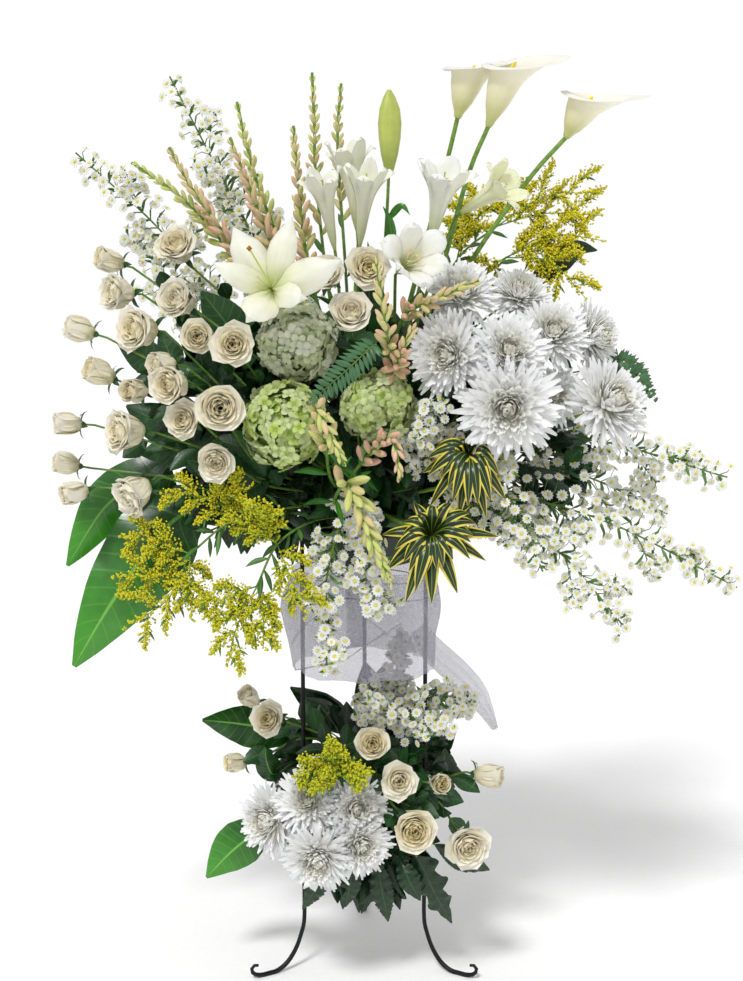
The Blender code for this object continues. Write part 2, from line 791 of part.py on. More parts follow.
def turned_bowl(ring_z, sides=12):
    """A plastic bowl hung by its flange on the stand's ring, open at the top."""
    rim = ring_z + FLANGE_LIFT
    floor = rim - BOWL_DEPTH
    profile = (
        (0.0, floor - BOWL_WALL),
        (0.092, floor - BOWL_WALL),
        (BOWL_BODY, rim - 0.012),
        (BOWL_BODY, rim),
        (BOWL_FLANGE, rim),
        (BOWL_FLANGE, rim + FLANGE_THICK),
        (BOWL_BODY - BOWL_WALL, rim + FLANGE_THICK),
        (BOWL_BODY - BOWL_WALL, rim - 0.012),
        (0.092 - BOWL_WALL, floor),
        (0.0, floor),
    )
    rings = []
    for radius, z in profile[1:-1]:
        angles = [math.tau * (k + 0.5) / sides for k in range(sides)]
        rings.append([(radius * math.cos(a), radius * math.sin(a), z) for a in angles])
    return loft(rings, start=(0.0, 0.0, profile[0][1]), end=(0.0, 0.0, profile[-1][1]))


def leg_path(angle):
    """A leg from its top at the upper ring, down, then out at the knee to a foot with an upturned scroll."""
    a = math.radians(angle)
    out = np.array([math.cos(a), math.sin(a), 0.0])

    def at(reach, z):
        return out * reach + np.array([0.0, 0.0, z])

    bar = ROD_RADIUS * 1.22 * FLAT_SHARE
    reach = FOOT_REACH
    return [
        at(ROD_CIRCLE, ROD_TOP), at(ROD_CIRCLE, 0.42), at(ROD_CIRCLE, KNEE_Z),
        at(ROD_CIRCLE + 0.004, KNEE_Z - 0.02),
        at(ROD_CIRCLE + 0.016, 0.036), at(ROD_CIRCLE + 0.032, 0.015), at(reach - 0.022, bar + 0.001),
        at(reach - 0.008, bar),
        at(reach + 0.008, bar), at(reach + 0.020, bar + 0.004), at(reach + 0.026, bar + 0.012),
        at(reach + 0.022, bar + 0.019), at(reach + 0.014, bar + 0.018),
    ]


LEG_RADII = (1.0, 1.0, 1.0, 1.0, 1.12, 1.22, 1.22, 1.22, 1.22, 1.1, 1.0, 0.9, 0.7)


def leg(name, angle, finish):
    """One leg of the stand, six-sided, with a flat under its foot."""
    path = leg_path(angle)
    radii = [ROD_RADIUS * share for share in LEG_RADII]
    a = math.radians(angle)
    out = np.array([math.cos(a), math.sin(a), 0.0])
    across = np.array([-math.sin(a), math.cos(a), 0.0])
    rings = []
    sides = 6
    for i, point in enumerate(path):
        along = unit(path[min(i + 1, len(path) - 1)] - path[max(i - 1, 0)])
        normal = np.cross(along, across)
        angles = [math.tau * k / sides for k in range(sides)]
        ring = [point + radii[i] * (math.cos(t) * across + math.sin(t) * normal) for t in angles]
        rings.append(ring)
    verts, faces = loft(rings)
    verts[:, 2] = np.maximum(verts[:, 2], 0.0)
    return fuse(name, [(verts, faces)], finish)


def net_sleeve():
    """The gathered net round the rods: a folded sleeve with a dipping hem.

    Its section is a round-cornered triangle over the three rods. It swells below the top tie, more so
    at the left, and falls back towards the hem.
    """
    levels = 4
    outer, inner = [], []
    for k in range(levels):
        share = k / (levels - 1)
        row_out, row_in = [], []
        for i in range(NET_SIDES):
            angle = math.tau * (i + 0.5) / NET_SIDES
            fold = 0.0020 * (1.0 + math.cos(NET_SIDES / 2 * angle))
            tuck = NET_TUCK * 0.5 * (1.0 - math.cos(3.0 * (angle - math.pi / 2)))
            swell = 0.010 * math.sin(math.pi * min(1.0, 1.35 * (1.0 - share))) ** 2
            left = 0.012 * max(0.0, -math.cos(angle)) * math.sin(math.pi * share)
            radius = NET_INNER - tuck + fold * (1.0 - share) + swell + left
            dip = 0.006 * math.cos(2.0 * angle) * (1.0 - share)
            z = NET_HEM + share * (NET_TOP - NET_HEM) + dip
            row_in.append((radius * math.cos(angle), radius * math.sin(angle), z))
            grown = radius + NET_WALL
            row_out.append((grown * math.cos(angle), grown * math.sin(angle), z))
        outer.append(row_out)
        inner.append(row_in)
    count = NET_SIDES
    rings = outer + inner[::-1]
    verts = [p for ring in rings for p in ring]
    faces = []
    for k in range(len(rings)):
        after = (k + 1) % len(rings)
        for i in range(count):
            j = (i + 1) % count
            a, b, c, d = k * count + i, k * count + j, after * count + j, after * count + i
            faces += [(a, b, c), (a, c, d)]
    return outward(verts, faces)


def foam_block(name, tier, finish, bottom):
    """A carved block of wet foam with its plain stem holes."""
    half, top = TIERS[tier]
    shape = bmesh.new()
    bmesh.ops.create_cube(shape, size=1.0)
    for vert in shape.verts:
        vert.co.x *= 2 * half
        vert.co.y *= 2 * half
        vert.co.z = bottom if vert.co.z < 0 else top
    upright = [e for e in shape.edges if abs(e.verts[0].co.z - e.verts[1].co.z) > 0.01]
    bmesh.ops.bevel(shape, geom=upright, offset=FOAM_EDGE, segments=1, affect="EDGES", profile=0.5)
    mesh = bpy.data.meshes.new(name)
    shape.to_mesh(mesh)
    shape.free()
    made = bpy.data.objects.new(name, mesh)
    scene = bpy.context.scene.collection
    scene.objects.link(made)
    cutters = bpy.data.collections.new(name + "_holes")
    scene.children.link(cutters)
    for face, inner, outer, radius in holes[tier]:
        mesh_object(name + "_hole", peg_rod(inner, outer, radius, face), cutters)
    cut = made.modifiers.new("holes", "BOOLEAN")
    cut.operation = "DIFFERENCE"
    cut.operand_type = "COLLECTION"
    cut.collection = cutters
    cut.solver = "MANIFOLD"
    drilled = evaluated(made)
    keep_outer_shell(drilled)
    for cutter in list(cutters.objects):
        bpy.data.objects.remove(cutter)
    bpy.data.collections.remove(cutters)
    drilled.materials.clear()
    drilled.materials.append(finish)
    return made


FRONT = (0.0, -1.0, 0.15)
UP_FRONT = (0.0, -0.8, 0.6)
LEFT_FRONT = (-0.7, -0.75, 0.1)
RIGHT_FRONT = (0.6, -0.8, 0.1)


def roses_of_the_upper_tier(finish):
    """Cream roses in six bunches: five fanned out at the left, one at the middle."""
    rose_bunch("roses_top_left", ("upper", "top", -0.050, -0.045), (
        ([(-0.16, -0.04, 1.00)], (-0.395, -0.030, 1.160), 0.056, (-0.8, -0.5, 0.3), False, None),
        ([(-0.13, -0.05, 1.02)], (-0.285, -0.060, 1.178), 0.062, (-0.3, -0.8, 0.6), True, None),
        ([(-0.17, -0.06, 0.98)], (-0.370, -0.100, 1.113), 0.058, (-0.75, -0.7, 0.1), True,
         (0.35, (-0.250, -0.085, 1.115))),
        ([(-0.14, -0.08, 0.99)], (-0.275, -0.140, 1.101), 0.064, (-0.4, -0.9, 0.3), True, None),
    ), finish)
    rose_bunch("roses_middle_left", ("upper", "left", -0.026, 0.827), (
        ([(-0.20, -0.06, 0.93)], (-0.436, -0.080, 1.055), 0.058, (-0.9, -0.3, 0.3), False,
         (0.55, (-0.385, -0.060, 1.035))),
        ([(-0.19, -0.10, 0.94)], (-0.332, -0.150, 1.060), 0.066, (-0.65, -0.75, 0.1), True, None),
        ([(-0.22, -0.08, 0.90)], (-0.402, -0.110, 0.990), 0.060, (-0.8, -0.5, 0.4), False, None),
        ([(-0.20, -0.11, 0.90)], (-0.343, -0.155, 0.968), 0.054, (-0.5, -0.85, 0.1), False, None),
    ), finish)
    rose_bunch("roses_inner_left", ("upper", "front", -0.050, 0.827), (
        ([(-0.15, -0.115, 0.94)], (-0.245, -0.185, 1.050), 0.056, FRONT, True, None),
        ([(-0.14, -0.115, 0.95)], (-0.190, -0.205, 1.040), 0.062, FRONT, True, None),
        ([(-0.17, -0.115, 0.92)], (-0.297, -0.180, 1.010), 0.054, LEFT_FRONT, False, None),
        ([(-0.17, -0.125, 0.91)], (-0.278, -0.220, 0.985), 0.062, (-0.4, -0.9, 0.0), True, None),
    ), finish)
    rose_bunch("roses_front_left", ("upper", "front", -0.050, 0.804), (
        ([(-0.16, -0.13, 0.85)], (-0.208, -0.245, 0.952), 0.076, (0.05, -1.0, 0.1), True, None),
        ([(-0.17, -0.12, 0.85)], (-0.262, -0.205, 0.930), 0.054, (-0.3, -0.9, 0.1), True, None),
        ([(-0.15, -0.13, 0.82)], (-0.216, -0.225, 0.873), 0.058, (0.0, -0.9, -0.1), True,
         (0.30, (-0.265, -0.190, 0.868))),
    ), finish)
    rose_bunch("roses_low_left", ("upper", "left", -0.026, 0.800), (
        ([(-0.22, -0.07, 0.845)], (-0.455, -0.100, 0.912), 0.054, (-0.9, -0.4, 0.1), False,
         (0.40, (-0.375, -0.050, 0.935))),
        ([(-0.20, -0.10, 0.855)], (-0.352, -0.170, 0.908), 0.066, (-0.8, -0.6, 0.1), True, None),
        ([(-0.23, -0.06, 0.815)], (-0.468, -0.055, 0.842), 0.052, (-0.9, -0.3, 0.2), False, None),
        ([(-0.23, -0.08, 0.800)], (-0.446, -0.110, 0.806), 0.054, (-0.8, -0.6, -0.1), False, None),
        ([(-0.20, -0.10, 0.800)], (-0.342, -0.170, 0.818), 0.064, (-0.6, -0.6, -0.4), True,
         (0.40, (-0.290, -0.100, 0.868))),
    ), finish)
    rose_bunch("roses_centre", ("upper", "top", -0.005, -0.045), (
        ([(-0.020, -0.07, 1.02)], (-0.056, -0.150, 1.140), 0.058, (0.0, -0.9, 0.3), True, None),
        ([(-0.008, -0.075, 1.02)], (0.005, -0.160, 1.148), 0.062, (0.1, -0.9, 0.3), True, None),
        ([(-0.012, -0.090, 1.02)], (-0.018, -0.225, 1.082), 0.064, (0.0, -0.8, 0.5), True, None),
    ), finish)


def lilies(finish, trumpet_finish, bud_finish, calla_finish):
    """The open lily, two bunches of trumpet lilies, the closed lily bud and three callas."""
    base, root, normal = peg("upper", "top", -0.028, -0.045)
    throat = np.array([-0.133, -0.215, 1.122])
    back = throat + np.array([0.0, 0.050, 0.006])
    solids = [base, stem_from(root, normal, [(-0.10, -0.045, 1.01), (-0.130, -0.075, 1.115), back, throat],
                              0.0030, 3, steps=1)]
    petals = (
        ((-0.215, -0.250, 1.162), 0.030), ((-0.190, -0.200, 1.212), 0.040),
        ((-0.103, -0.215, 1.226), 0.034),
        ((-0.030, -0.255, 1.165), 0.042), ((-0.078, -0.290, 1.112), 0.032),
        ((-0.166, -0.290, 1.078), 0.042),
    )
    for tip, width in petals:
        tip = np.array(tip)
        near = throat + 0.38 * (tip - throat) + np.array([0.0, -0.020, 0.0])
        far = throat + 0.74 * (tip - throat) + np.array([0.0, -0.022, 0.0])
        start = throat + np.array([0.0, 0.006, 0.0]) - 0.10 * (tip - throat)
        solids.append(blade([start, near, far, tip], [0.8 * width, width], 0.0022, 0.35, FRONT))
    fuse("lily_open", solids, finish, KEEP_LILIES)

    base, root, normal = peg("upper", "top", -0.030, -0.012)
    solids = [base]
    mouths = (
        ((-0.066, -0.075, 1.296), (-0.045, -0.045, 1.178), 0.058, (-0.035, -0.02, 1.05)),
        ((-0.026, -0.010, 1.342), (-0.010, -0.008, 1.205), 0.062, (-0.018, -0.01, 1.06)),
        ((0.006, -0.085, 1.305), (-0.006, -0.045, 1.185), 0.062, (-0.014, -0.025, 1.05)),
    )
    for k, (mouth, low, size, via) in enumerate(mouths):
        solids.append(stem_from(root, normal, [via, low, 0.8 * np.array(low) + 0.2 * np.array(mouth)],
                                0.0032, 3, steps=1))
        solids.append(trumpet(mouth, low, size, turn=0.3 * k))
    fuse("trumpet_lilies_left", solids, trumpet_finish, KEEP_BALLS)

    base, root, normal = peg("upper", "top", 0.030, -0.012)
    solids = [base]
    mouths = (
        ((0.126, -0.095, 1.306), (0.105, -0.060, 1.195), 0.078, (0.070, -0.030, 1.05)),
        ((0.082, -0.185, 1.174), (0.052, -0.105, 1.145), 0.080, (0.046, -0.030, 1.03)),
        ((0.222, -0.125, 1.282), (0.150, -0.075, 1.235), 0.066, (0.085, -0.025, 1.07)),
    )
    for k, (mouth, low, size, via) in enumerate(mouths):
        solids.append(stem_from(root, normal, [via, low, 0.8 * np.array(low) + 0.2 * np.array(mouth)],
                                0.0032, 3, steps=1))
        solids.append(trumpet(mouth, low, size, turn=0.4 * k))
    fuse("trumpet_lilies_right", solids, trumpet_finish, KEEP_BALLS)

    base, root, normal = peg("upper", "top", 0.003, 0.012)
    solids = [base, stem_from(root, normal, [(0.024, -0.005, 1.05), (0.036, -0.02, 1.232),
                                             (0.039, -0.02, 1.300),
                                             (0.040, -0.02, 1.335)], 0.0032, 4, steps=1)]
    solids.append(loft([
        [(0.039 + r * math.cos(a), -0.02 + r * math.sin(a), z) for a in
         [math.tau * k / 6 for k in range(6)]] for r, z in ((0.008, 1.305), (0.0165, 1.345),
                     (0.0185, 1.375), (0.011, 1.408))
    ], start=(0.039, -0.02, 1.296), end=(0.041, -0.02, 1.424)))
    solids.append(blade([(0.032, -0.015, 1.16), (0.042, -0.022, 1.195), (0.040, -0.025, 1.225),
                         (0.030, -0.02, 1.245)],
                        [0.016, 0.014], 0.0018, 0.3))
    fuse("lily_bud", solids, bud_finish)

    callas = (
        ("calla_left", (0.012, 0.040), [(0.070, 0.040, 1.08), (0.128, 0.035, 1.30)], (0.149, 0.032, 1.387),
         (0.176, 0.030, 1.490), (0.203, 0.022, 1.492)),
        ("calla_middle", (0.030, 0.020), [(0.110, 0.008, 1.10), (0.163, 0.000, 1.29)],
         (0.196, -0.008, 1.372),
         (0.238, -0.024, 1.496), (0.280, -0.036, 1.496)),
        ("calla_right", (0.052, 0.030), [(0.150, 0.020, 1.12), (0.255, 0.010, 1.28)], (0.319, 0.005, 1.354),
         (0.362, -0.005, 1.432), (0.412, -0.015, 1.438)),
    )
    for name, (u, v), via, neck, mouth, lip in callas:
        base, root, normal = peg("upper", "top", u, v)
        neck, mouth, lip = np.array(neck), np.array(mouth), np.array(lip)
        solids = [base, stem_from(root, normal, [*via, neck, neck + 0.2 * (mouth - neck)], 0.0038, 4,
                                  steps=1)]
        solids += spathe(neck, mouth, lip)
        fuse(name, solids, calla_finish)


def spathe(neck, mouth, lip):
    """A calla flower: a funnel whose rim runs out to one pointed lip, round a finger-like spadix."""
    along = unit(mouth - neck)
    reach = lip - mouth
    side = unit(reach - along * np.dot(reach, along))
    other = np.cross(along, side)
    length = np.linalg.norm(mouth - neck)
    count = 8

    def funnel(share, radius, flare):
        ring = []
        for k in range(count):
            angle = math.tau * (k + 0.2) / count
            lean = 0.5 + 0.5 * math.cos(angle)
            out = radius * (math.cos(angle) * side + math.sin(angle) * other)
            lip_lift = flare * lean**3 * reach
            back_drop = flare * (1.0 - lean) * 0.25 * length * along
            ring.append(neck + along * length * share + out + lip_lift - back_drop)
        return ring

    outer = [funnel(-0.035, 0.0055, 0.0), funnel(0.45, 0.0165, 0.0),
             funnel(0.80, 0.024, 0.1), funnel(1.0, 0.029, 1.0)]
    inner = [funnel(0.96, 0.024, 0.85), funnel(0.55, 0.012, 0.0)]
    cup = loft(outer + inner)
    finger = tube([neck + along * length * 0.45, neck + along * length * 0.95 + side * 0.003],
                  [0.0042, 0.003], 5)
    return [cup, finger]


def tuberoses(finish):
    """Spikes of tuberose buds: four bunches stand up at the back, three lean over the front."""
    spike_bunch("tuberose_left", ("upper", "top", -0.052, -0.012), (
        ([(-0.13, -0.012, 1.05), (-0.235, -0.015, 1.205), (-0.300, -0.020, 1.270), (-0.362, -0.025, 1.312)],
         13, 0.50, 0.013),
        ([(-0.12, -0.025, 1.06), (-0.205, -0.035, 1.185), (-0.262, -0.045, 1.265), (-0.300, -0.050, 1.334)],
         12, 0.50, 0.014),
    ), finish)
    spike_bunch("tuberose_back", ("upper", "top", -0.036, 0.040), (
        ([(-0.09, 0.030, 1.08), (-0.158, 0.020, 1.250), (-0.184, 0.020, 1.335), (-0.200, 0.020, 1.408)], 11,
         0.58, 0.012),
        ([(-0.09, 0.010, 1.06), (-0.150, -0.005, 1.195), (-0.180, -0.010, 1.275), (-0.209, -0.015, 1.351)],
         12, 0.50, 0.014),
    ), finish)
    spike_bunch("tuberose_middle", ("upper", "top", -0.016, 0.030), (
        ([(-0.065, 0.000, 1.06), (-0.092, -0.020, 1.180), (-0.102, -0.025, 1.280), (-0.109, -0.030, 1.368)],
         12, 0.52, 0.013),
        ([(-0.058, 0.025, 1.12), (-0.076, 0.018, 1.290), (-0.078, 0.015, 1.370), (-0.081, 0.010, 1.452)],
         11, 0.60, 0.011),
        ([(-0.030, 0.040, 1.15), (-0.042, 0.042, 1.340), (-0.036, 0.040, 1.438)], 9, 0.66, 0.011),
    ), finish)
    spike_bunch("tuberose_front", ("upper", "top", 0.022, -0.045), (
        ([(0.030, -0.085, 0.99), (0.040, -0.18, 1.015), (0.034, -0.262, 1.060), (0.026, -0.262, 1.115),
          (0.018, -0.255, 1.170)],
         8, 0.62, 0.013),
        ([(0.034, -0.090, 0.98), (0.046, -0.20, 1.005), (0.056, -0.255, 1.035), (0.074, -0.262, 1.074)], 8,
         0.60, 0.014),
        ([(0.042, -0.085, 1.00), (0.060, -0.16, 1.080), (0.100, -0.225, 1.105), (0.166, -0.250, 1.136)], 9,
         0.62, 0.013),
    ), finish)
    spike_bunch("tuberose_hanging", ("upper", "front", -0.026, 0.786), (
        ([(-0.050, -0.16, 0.835), (-0.055, -0.255, 0.90), (-0.066, -0.292, 0.955), (-0.052, -0.302, 0.930),
          (-0.027, -0.300, 0.874)], 9, 0.55, 0.014),
        ([(-0.020, -0.15, 0.835), (0.030, -0.25, 0.905), (0.046, -0.285, 0.900), (0.053, -0.290, 0.852)], 8,
         0.50, 0.013),
        ([(-0.045, -0.17, 0.800), (-0.022, -0.262, 0.842), (0.008, -0.290, 0.775), (0.041, -0.285, 0.698)],
         11, 0.50, 0.015),
    ), finish)


def hydrangeas(finish):
    """Three mopheads of lime-green florets."""
    heads = (
        ("hydrangea_upper", ("upper", "front", -0.029, 0.828), [(-0.060, -0.095, 0.95)],
         (-0.100, -0.140, 1.040), 0.116, 134),
        ("hydrangea_left", ("upper", "front", -0.028, 0.807), [(-0.060, -0.12, 0.870)],
         (-0.118, -0.195, 0.922), 0.126, 150),
        ("hydrangea_right", ("upper", "front", 0.016, 0.828), [(0.022, -0.10, 0.890)],
         (0.022, -0.172, 0.946), 0.104, 126),
    )
    for name, where, via, centre, size, count in heads:
        base, root, normal = peg(*where)
        solids = [base, stem_from(root, normal, [*via, centre], 0.0036, 4, steps=1)]
        solids.append(floret_ball(centre, size, count))
        fuse(name, solids, finish)


def chrysanthemums(finish):
    """White chrysanthemums: a back and a front bunch at the right, and one bunch low down."""
    mum_bunch("chrysanthemums_back", ("upper", "top", 0.052, -0.020), (
        ([(0.085, -0.045, 1.00)], (0.150, -0.105, 1.112), 0.100, (0.0, -0.8, 0.6)),
        ([(0.110, -0.030, 1.00)], (0.243, -0.050, 1.108), 0.088, (0.2, -0.6, 0.8)),
        ([(0.150, -0.040, 0.97)], (0.356, -0.065, 1.042), 0.096, (0.8, -0.6, 0.2)),
        ([(0.130, -0.060, 0.98)], (0.286, -0.135, 1.052), 0.096, (0.1, -0.8, 0.5)),
    ), finish)
    mum_bunch("chrysanthemums_front", ("upper", "right", -0.026, 0.827), (
        ([(0.105, -0.10, 0.930)], (0.127, -0.205, 1.026), 0.110, (-0.4, -0.9, 0.1)),
        ([(0.140, -0.10, 0.920)], (0.213, -0.215, 1.030), 0.100, (0.1, -0.9, 0.4)),
        ([(0.140, -0.11, 0.890)], (0.211, -0.245, 0.952), 0.126, (-0.1, -1.0, 0.0)),
        ([(0.150, -0.08, 0.890)], (0.290, -0.150, 0.960), 0.076, (0.1, -0.9, 0.0)),
        ([(0.170, -0.09, 0.880)], (0.366, -0.185, 0.952), 0.118, (0.5, -0.7, 0.4)),
    ), finish)
    mum_bunch("chrysanthemums_lower", ("lower", "front", -0.020, 0.300), (
        ([(-0.060, -0.10, 0.290)], (-0.147, -0.145, 0.286), 0.098, (-0.6, -0.8, 0.1)),
        ([(-0.050, -0.10, 0.310)], (-0.086, -0.170, 0.326), 0.096, (-0.1, -0.9, 0.5)),
        ([(-0.020, -0.10, 0.310)], (-0.014, -0.165, 0.312), 0.092, (0.2, -0.9, 0.3)),
        ([(-0.040, -0.11, 0.275)], (-0.070, -0.200, 0.246), 0.096, (-0.1, -0.9, -0.2)),
        ([(-0.015, -0.10, 0.285)], (-0.006, -0.185, 0.262), 0.090, (0.3, -0.9, 0.0)),
    ), finish, petals=7)


def daisies(finish):
    """Sprays of small white daisies: behind the left side, out to the right, hanging, and low down."""
    size = 0.024
    daisy_bunch("daisies_back_left", ("upper", "top", -0.052, 0.046), (
        ([(-0.12, 0.08, 1.08), (-0.235, 0.085, 1.300), (-0.312, 0.075, 1.452)], 11, 0.045, 0.34, size),
        ([(-0.11, 0.09, 1.05), (-0.200, 0.110, 1.200), (-0.240, 0.110, 1.330)], 7, 0.048, 0.40, size),
    ), finish, 11)
    daisy_bunch("daisies_left", ("upper", "left", 0.042, 0.826), (
        ([(-0.16, 0.055, 1.00), (-0.320, 0.045, 1.200), (-0.458, 0.030, 1.330)], 12, 0.045, 0.34, size),
        ([(-0.17, 0.070, 0.96), (-0.290, 0.075, 1.080), (-0.370, 0.070, 1.200)], 7, 0.045, 0.45, size),
    ), finish, 12)
    daisy_bunch("daisies_right_upper", ("upper", "right", -0.002, 0.812), (
        ([(0.180, -0.030, 0.865), (0.360, -0.050, 0.880), (0.575, -0.060, 0.822)], 13, 0.048, 0.28, size),
        ([(0.180, -0.040, 0.840), (0.330, -0.060, 0.830), (0.480, -0.070, 0.765)], 10, 0.046, 0.34, size),
        ([(0.170, -0.020, 0.890), (0.300, -0.020, 0.935), (0.430, -0.030, 0.905)], 8, 0.038, 0.40, size),
    ), finish, 13)
    daisy_bunch("daisies_right_lower", ("upper", "right", -0.026, 0.796), (
        ([(0.180, -0.110, 0.810), (0.370, -0.130, 0.765), (0.592, -0.110, 0.648)], 13, 0.046, 0.28, size),
        ([(0.170, -0.130, 0.790), (0.290, -0.170, 0.730), (0.405, -0.160, 0.600)], 11, 0.046, 0.30, size),
        ([(0.150, -0.140, 0.820), (0.215, -0.195, 0.815), (0.270, -0.205, 0.700)], 8, 0.042, 0.30, size),
    ), finish, 14)
    daisy_bunch("daisies_middle", ("upper", "front", 0.044, 0.826), (
        ([(0.079, -0.13, 0.880), (0.090, -0.208, 0.925), (0.098, -0.228, 0.962)], 8, 0.034, 0.40, size),
        ([(0.080, -0.13, 0.850), (0.108, -0.160, 0.880), (0.132, -0.160, 0.905)], 5, 0.030, 0.45, size),
    ), finish, 15)
    daisy_bunch("daisies_hanging", ("upper", "front", -0.008, 0.764), (
        ([(-0.030, -0.15, 0.770), (-0.055, -0.205, 0.690), (-0.056, -0.205, 0.540)], 12, 0.034, 0.28, size),
        ([(0.000, -0.15, 0.765), (0.012, -0.205, 0.710), (0.018, -0.215, 0.628)], 8, 0.030, 0.34, size),
    ), finish, 16)
    daisy_bunch("daisies_lower", ("lower", "top", 0.030, -0.010), (
        ([(0.060, -0.020, 0.430), (0.110, -0.040, 0.450), (0.182, -0.030, 0.448)], 8, 0.036, 0.36, size),
        ([(0.050, -0.050, 0.420), (0.085, -0.095, 0.440), (0.120, -0.115, 0.425)], 8, 0.038, 0.40, size),
        ([(0.035, -0.010, 0.440), (0.055, -0.020, 0.500), (0.062, -0.020, 0.560)], 6, 0.028, 0.40, size),
        ([(0.030, -0.040, 0.430), (0.020, -0.075, 0.455), (-0.010, -0.100, 0.455)], 6, 0.034, 0.45, size),
    ), finish, 17)


def goldenrods(finish):
    """Yellow goldenrod: up behind the right side, out at the lower left, and a little low down."""
    right = (0.150, 0.055, 1.16)
    high = (0.215, 0.060, 1.215)
    low = (0.230, 0.055, 1.165)
    plume_bunch("goldenrod_right", ("upper", "top", 0.034, 0.050), (
        ([(0.085, 0.070, 1.03), right, high],
         [[high, (0.290, 0.050, 1.262), (0.375, 0.045, 1.268)], [high, (0.290, 0.060, 1.235),
                     (0.382, 0.055, 1.232)],
          [high, (0.245, 0.065, 1.262), (0.262, 0.070, 1.290)], [right, (0.160, 0.055, 1.215),
                      (0.150, 0.055, 1.262)],
          [right, (0.185, 0.060, 1.235), (0.195, 0.065, 1.275)]], 5, 0.0080),
        ([(0.105, 0.065, 1.02), low],
         [[low, (0.310, 0.055, 1.200), (0.385, 0.050, 1.192)], [low, (0.300, 0.045, 1.158),
                     (0.358, 0.040, 1.100)],
          [low, (0.275, 0.045, 1.185), (0.330, 0.045, 1.165)],
          [low, (0.190, 0.060, 1.140), (0.150, 0.060, 1.112)]], 5, 0.0080),
    ), finish)
    hub = (-0.200, -0.165, 0.770)
    elbow = (-0.265, -0.170, 0.720)
    plume_bunch("goldenrod_left", ("upper", "front", -0.050, 0.776), (
        ([(-0.110, -0.125, 0.785), hub, elbow],
         [[hub, (-0.245, -0.185, 0.812), (-0.305, -0.180, 0.815)], [hub, (-0.205, -0.205, 0.815),
                     (-0.165, -0.215, 0.832)],
          [elbow, (-0.320, -0.165, 0.745), (-0.372, -0.155, 0.745)], [elbow, (-0.320, -0.165, 0.690),
                      (-0.385, -0.155, 0.680)],
          [elbow, (-0.300, -0.175, 0.650), (-0.368, -0.165, 0.605)], [elbow, (-0.265, -0.185, 0.670),
                      (-0.262, -0.185, 0.620)]],
         5, 0.0078),
    ), finish)
    hub = (-0.130, -0.195, 0.740)
    elbow = (-0.160, -0.215, 0.680)
    plume_bunch("goldenrod_middle", ("upper", "front", -0.030, 0.762), (
        ([(-0.080, -0.140, 0.765), hub, elbow],
         [[hub, (-0.150, -0.235, 0.785), (-0.140, -0.255, 0.812)], [hub, (-0.175, -0.220, 0.775),
                     (-0.200, -0.235, 0.790)],
          [hub, (-0.105, -0.240, 0.690), (-0.085, -0.245, 0.640)], [elbow, (-0.190, -0.225, 0.620),
                      (-0.205, -0.225, 0.560)],
          [elbow, (-0.150, -0.230, 0.640), (-0.150, -0.235, 0.590)], [elbow, (-0.205, -0.225, 0.665),
                      (-0.240, -0.220, 0.630)]],
         5, 0.0078),
    ), finish)
    hub = (-0.045, -0.165, 0.378)
    plume_bunch("goldenrod_lower", ("lower", "front", -0.018, 0.338), (
        ([(-0.035, -0.120, 0.362), hub],
         [[hub, (-0.045, -0.190, 0.405), (-0.035, -0.200, 0.425)], [hub, (-0.080, -0.195, 0.385),
                     (-0.105, -0.205, 0.378)],
          [hub, (-0.015, -0.205, 0.380), (0.005, -0.220, 0.372)], [hub, (-0.060, -0.205, 0.360),
                      (-0.075, -0.220, 0.372)]],
         4, 0.0072),
    ), finish)


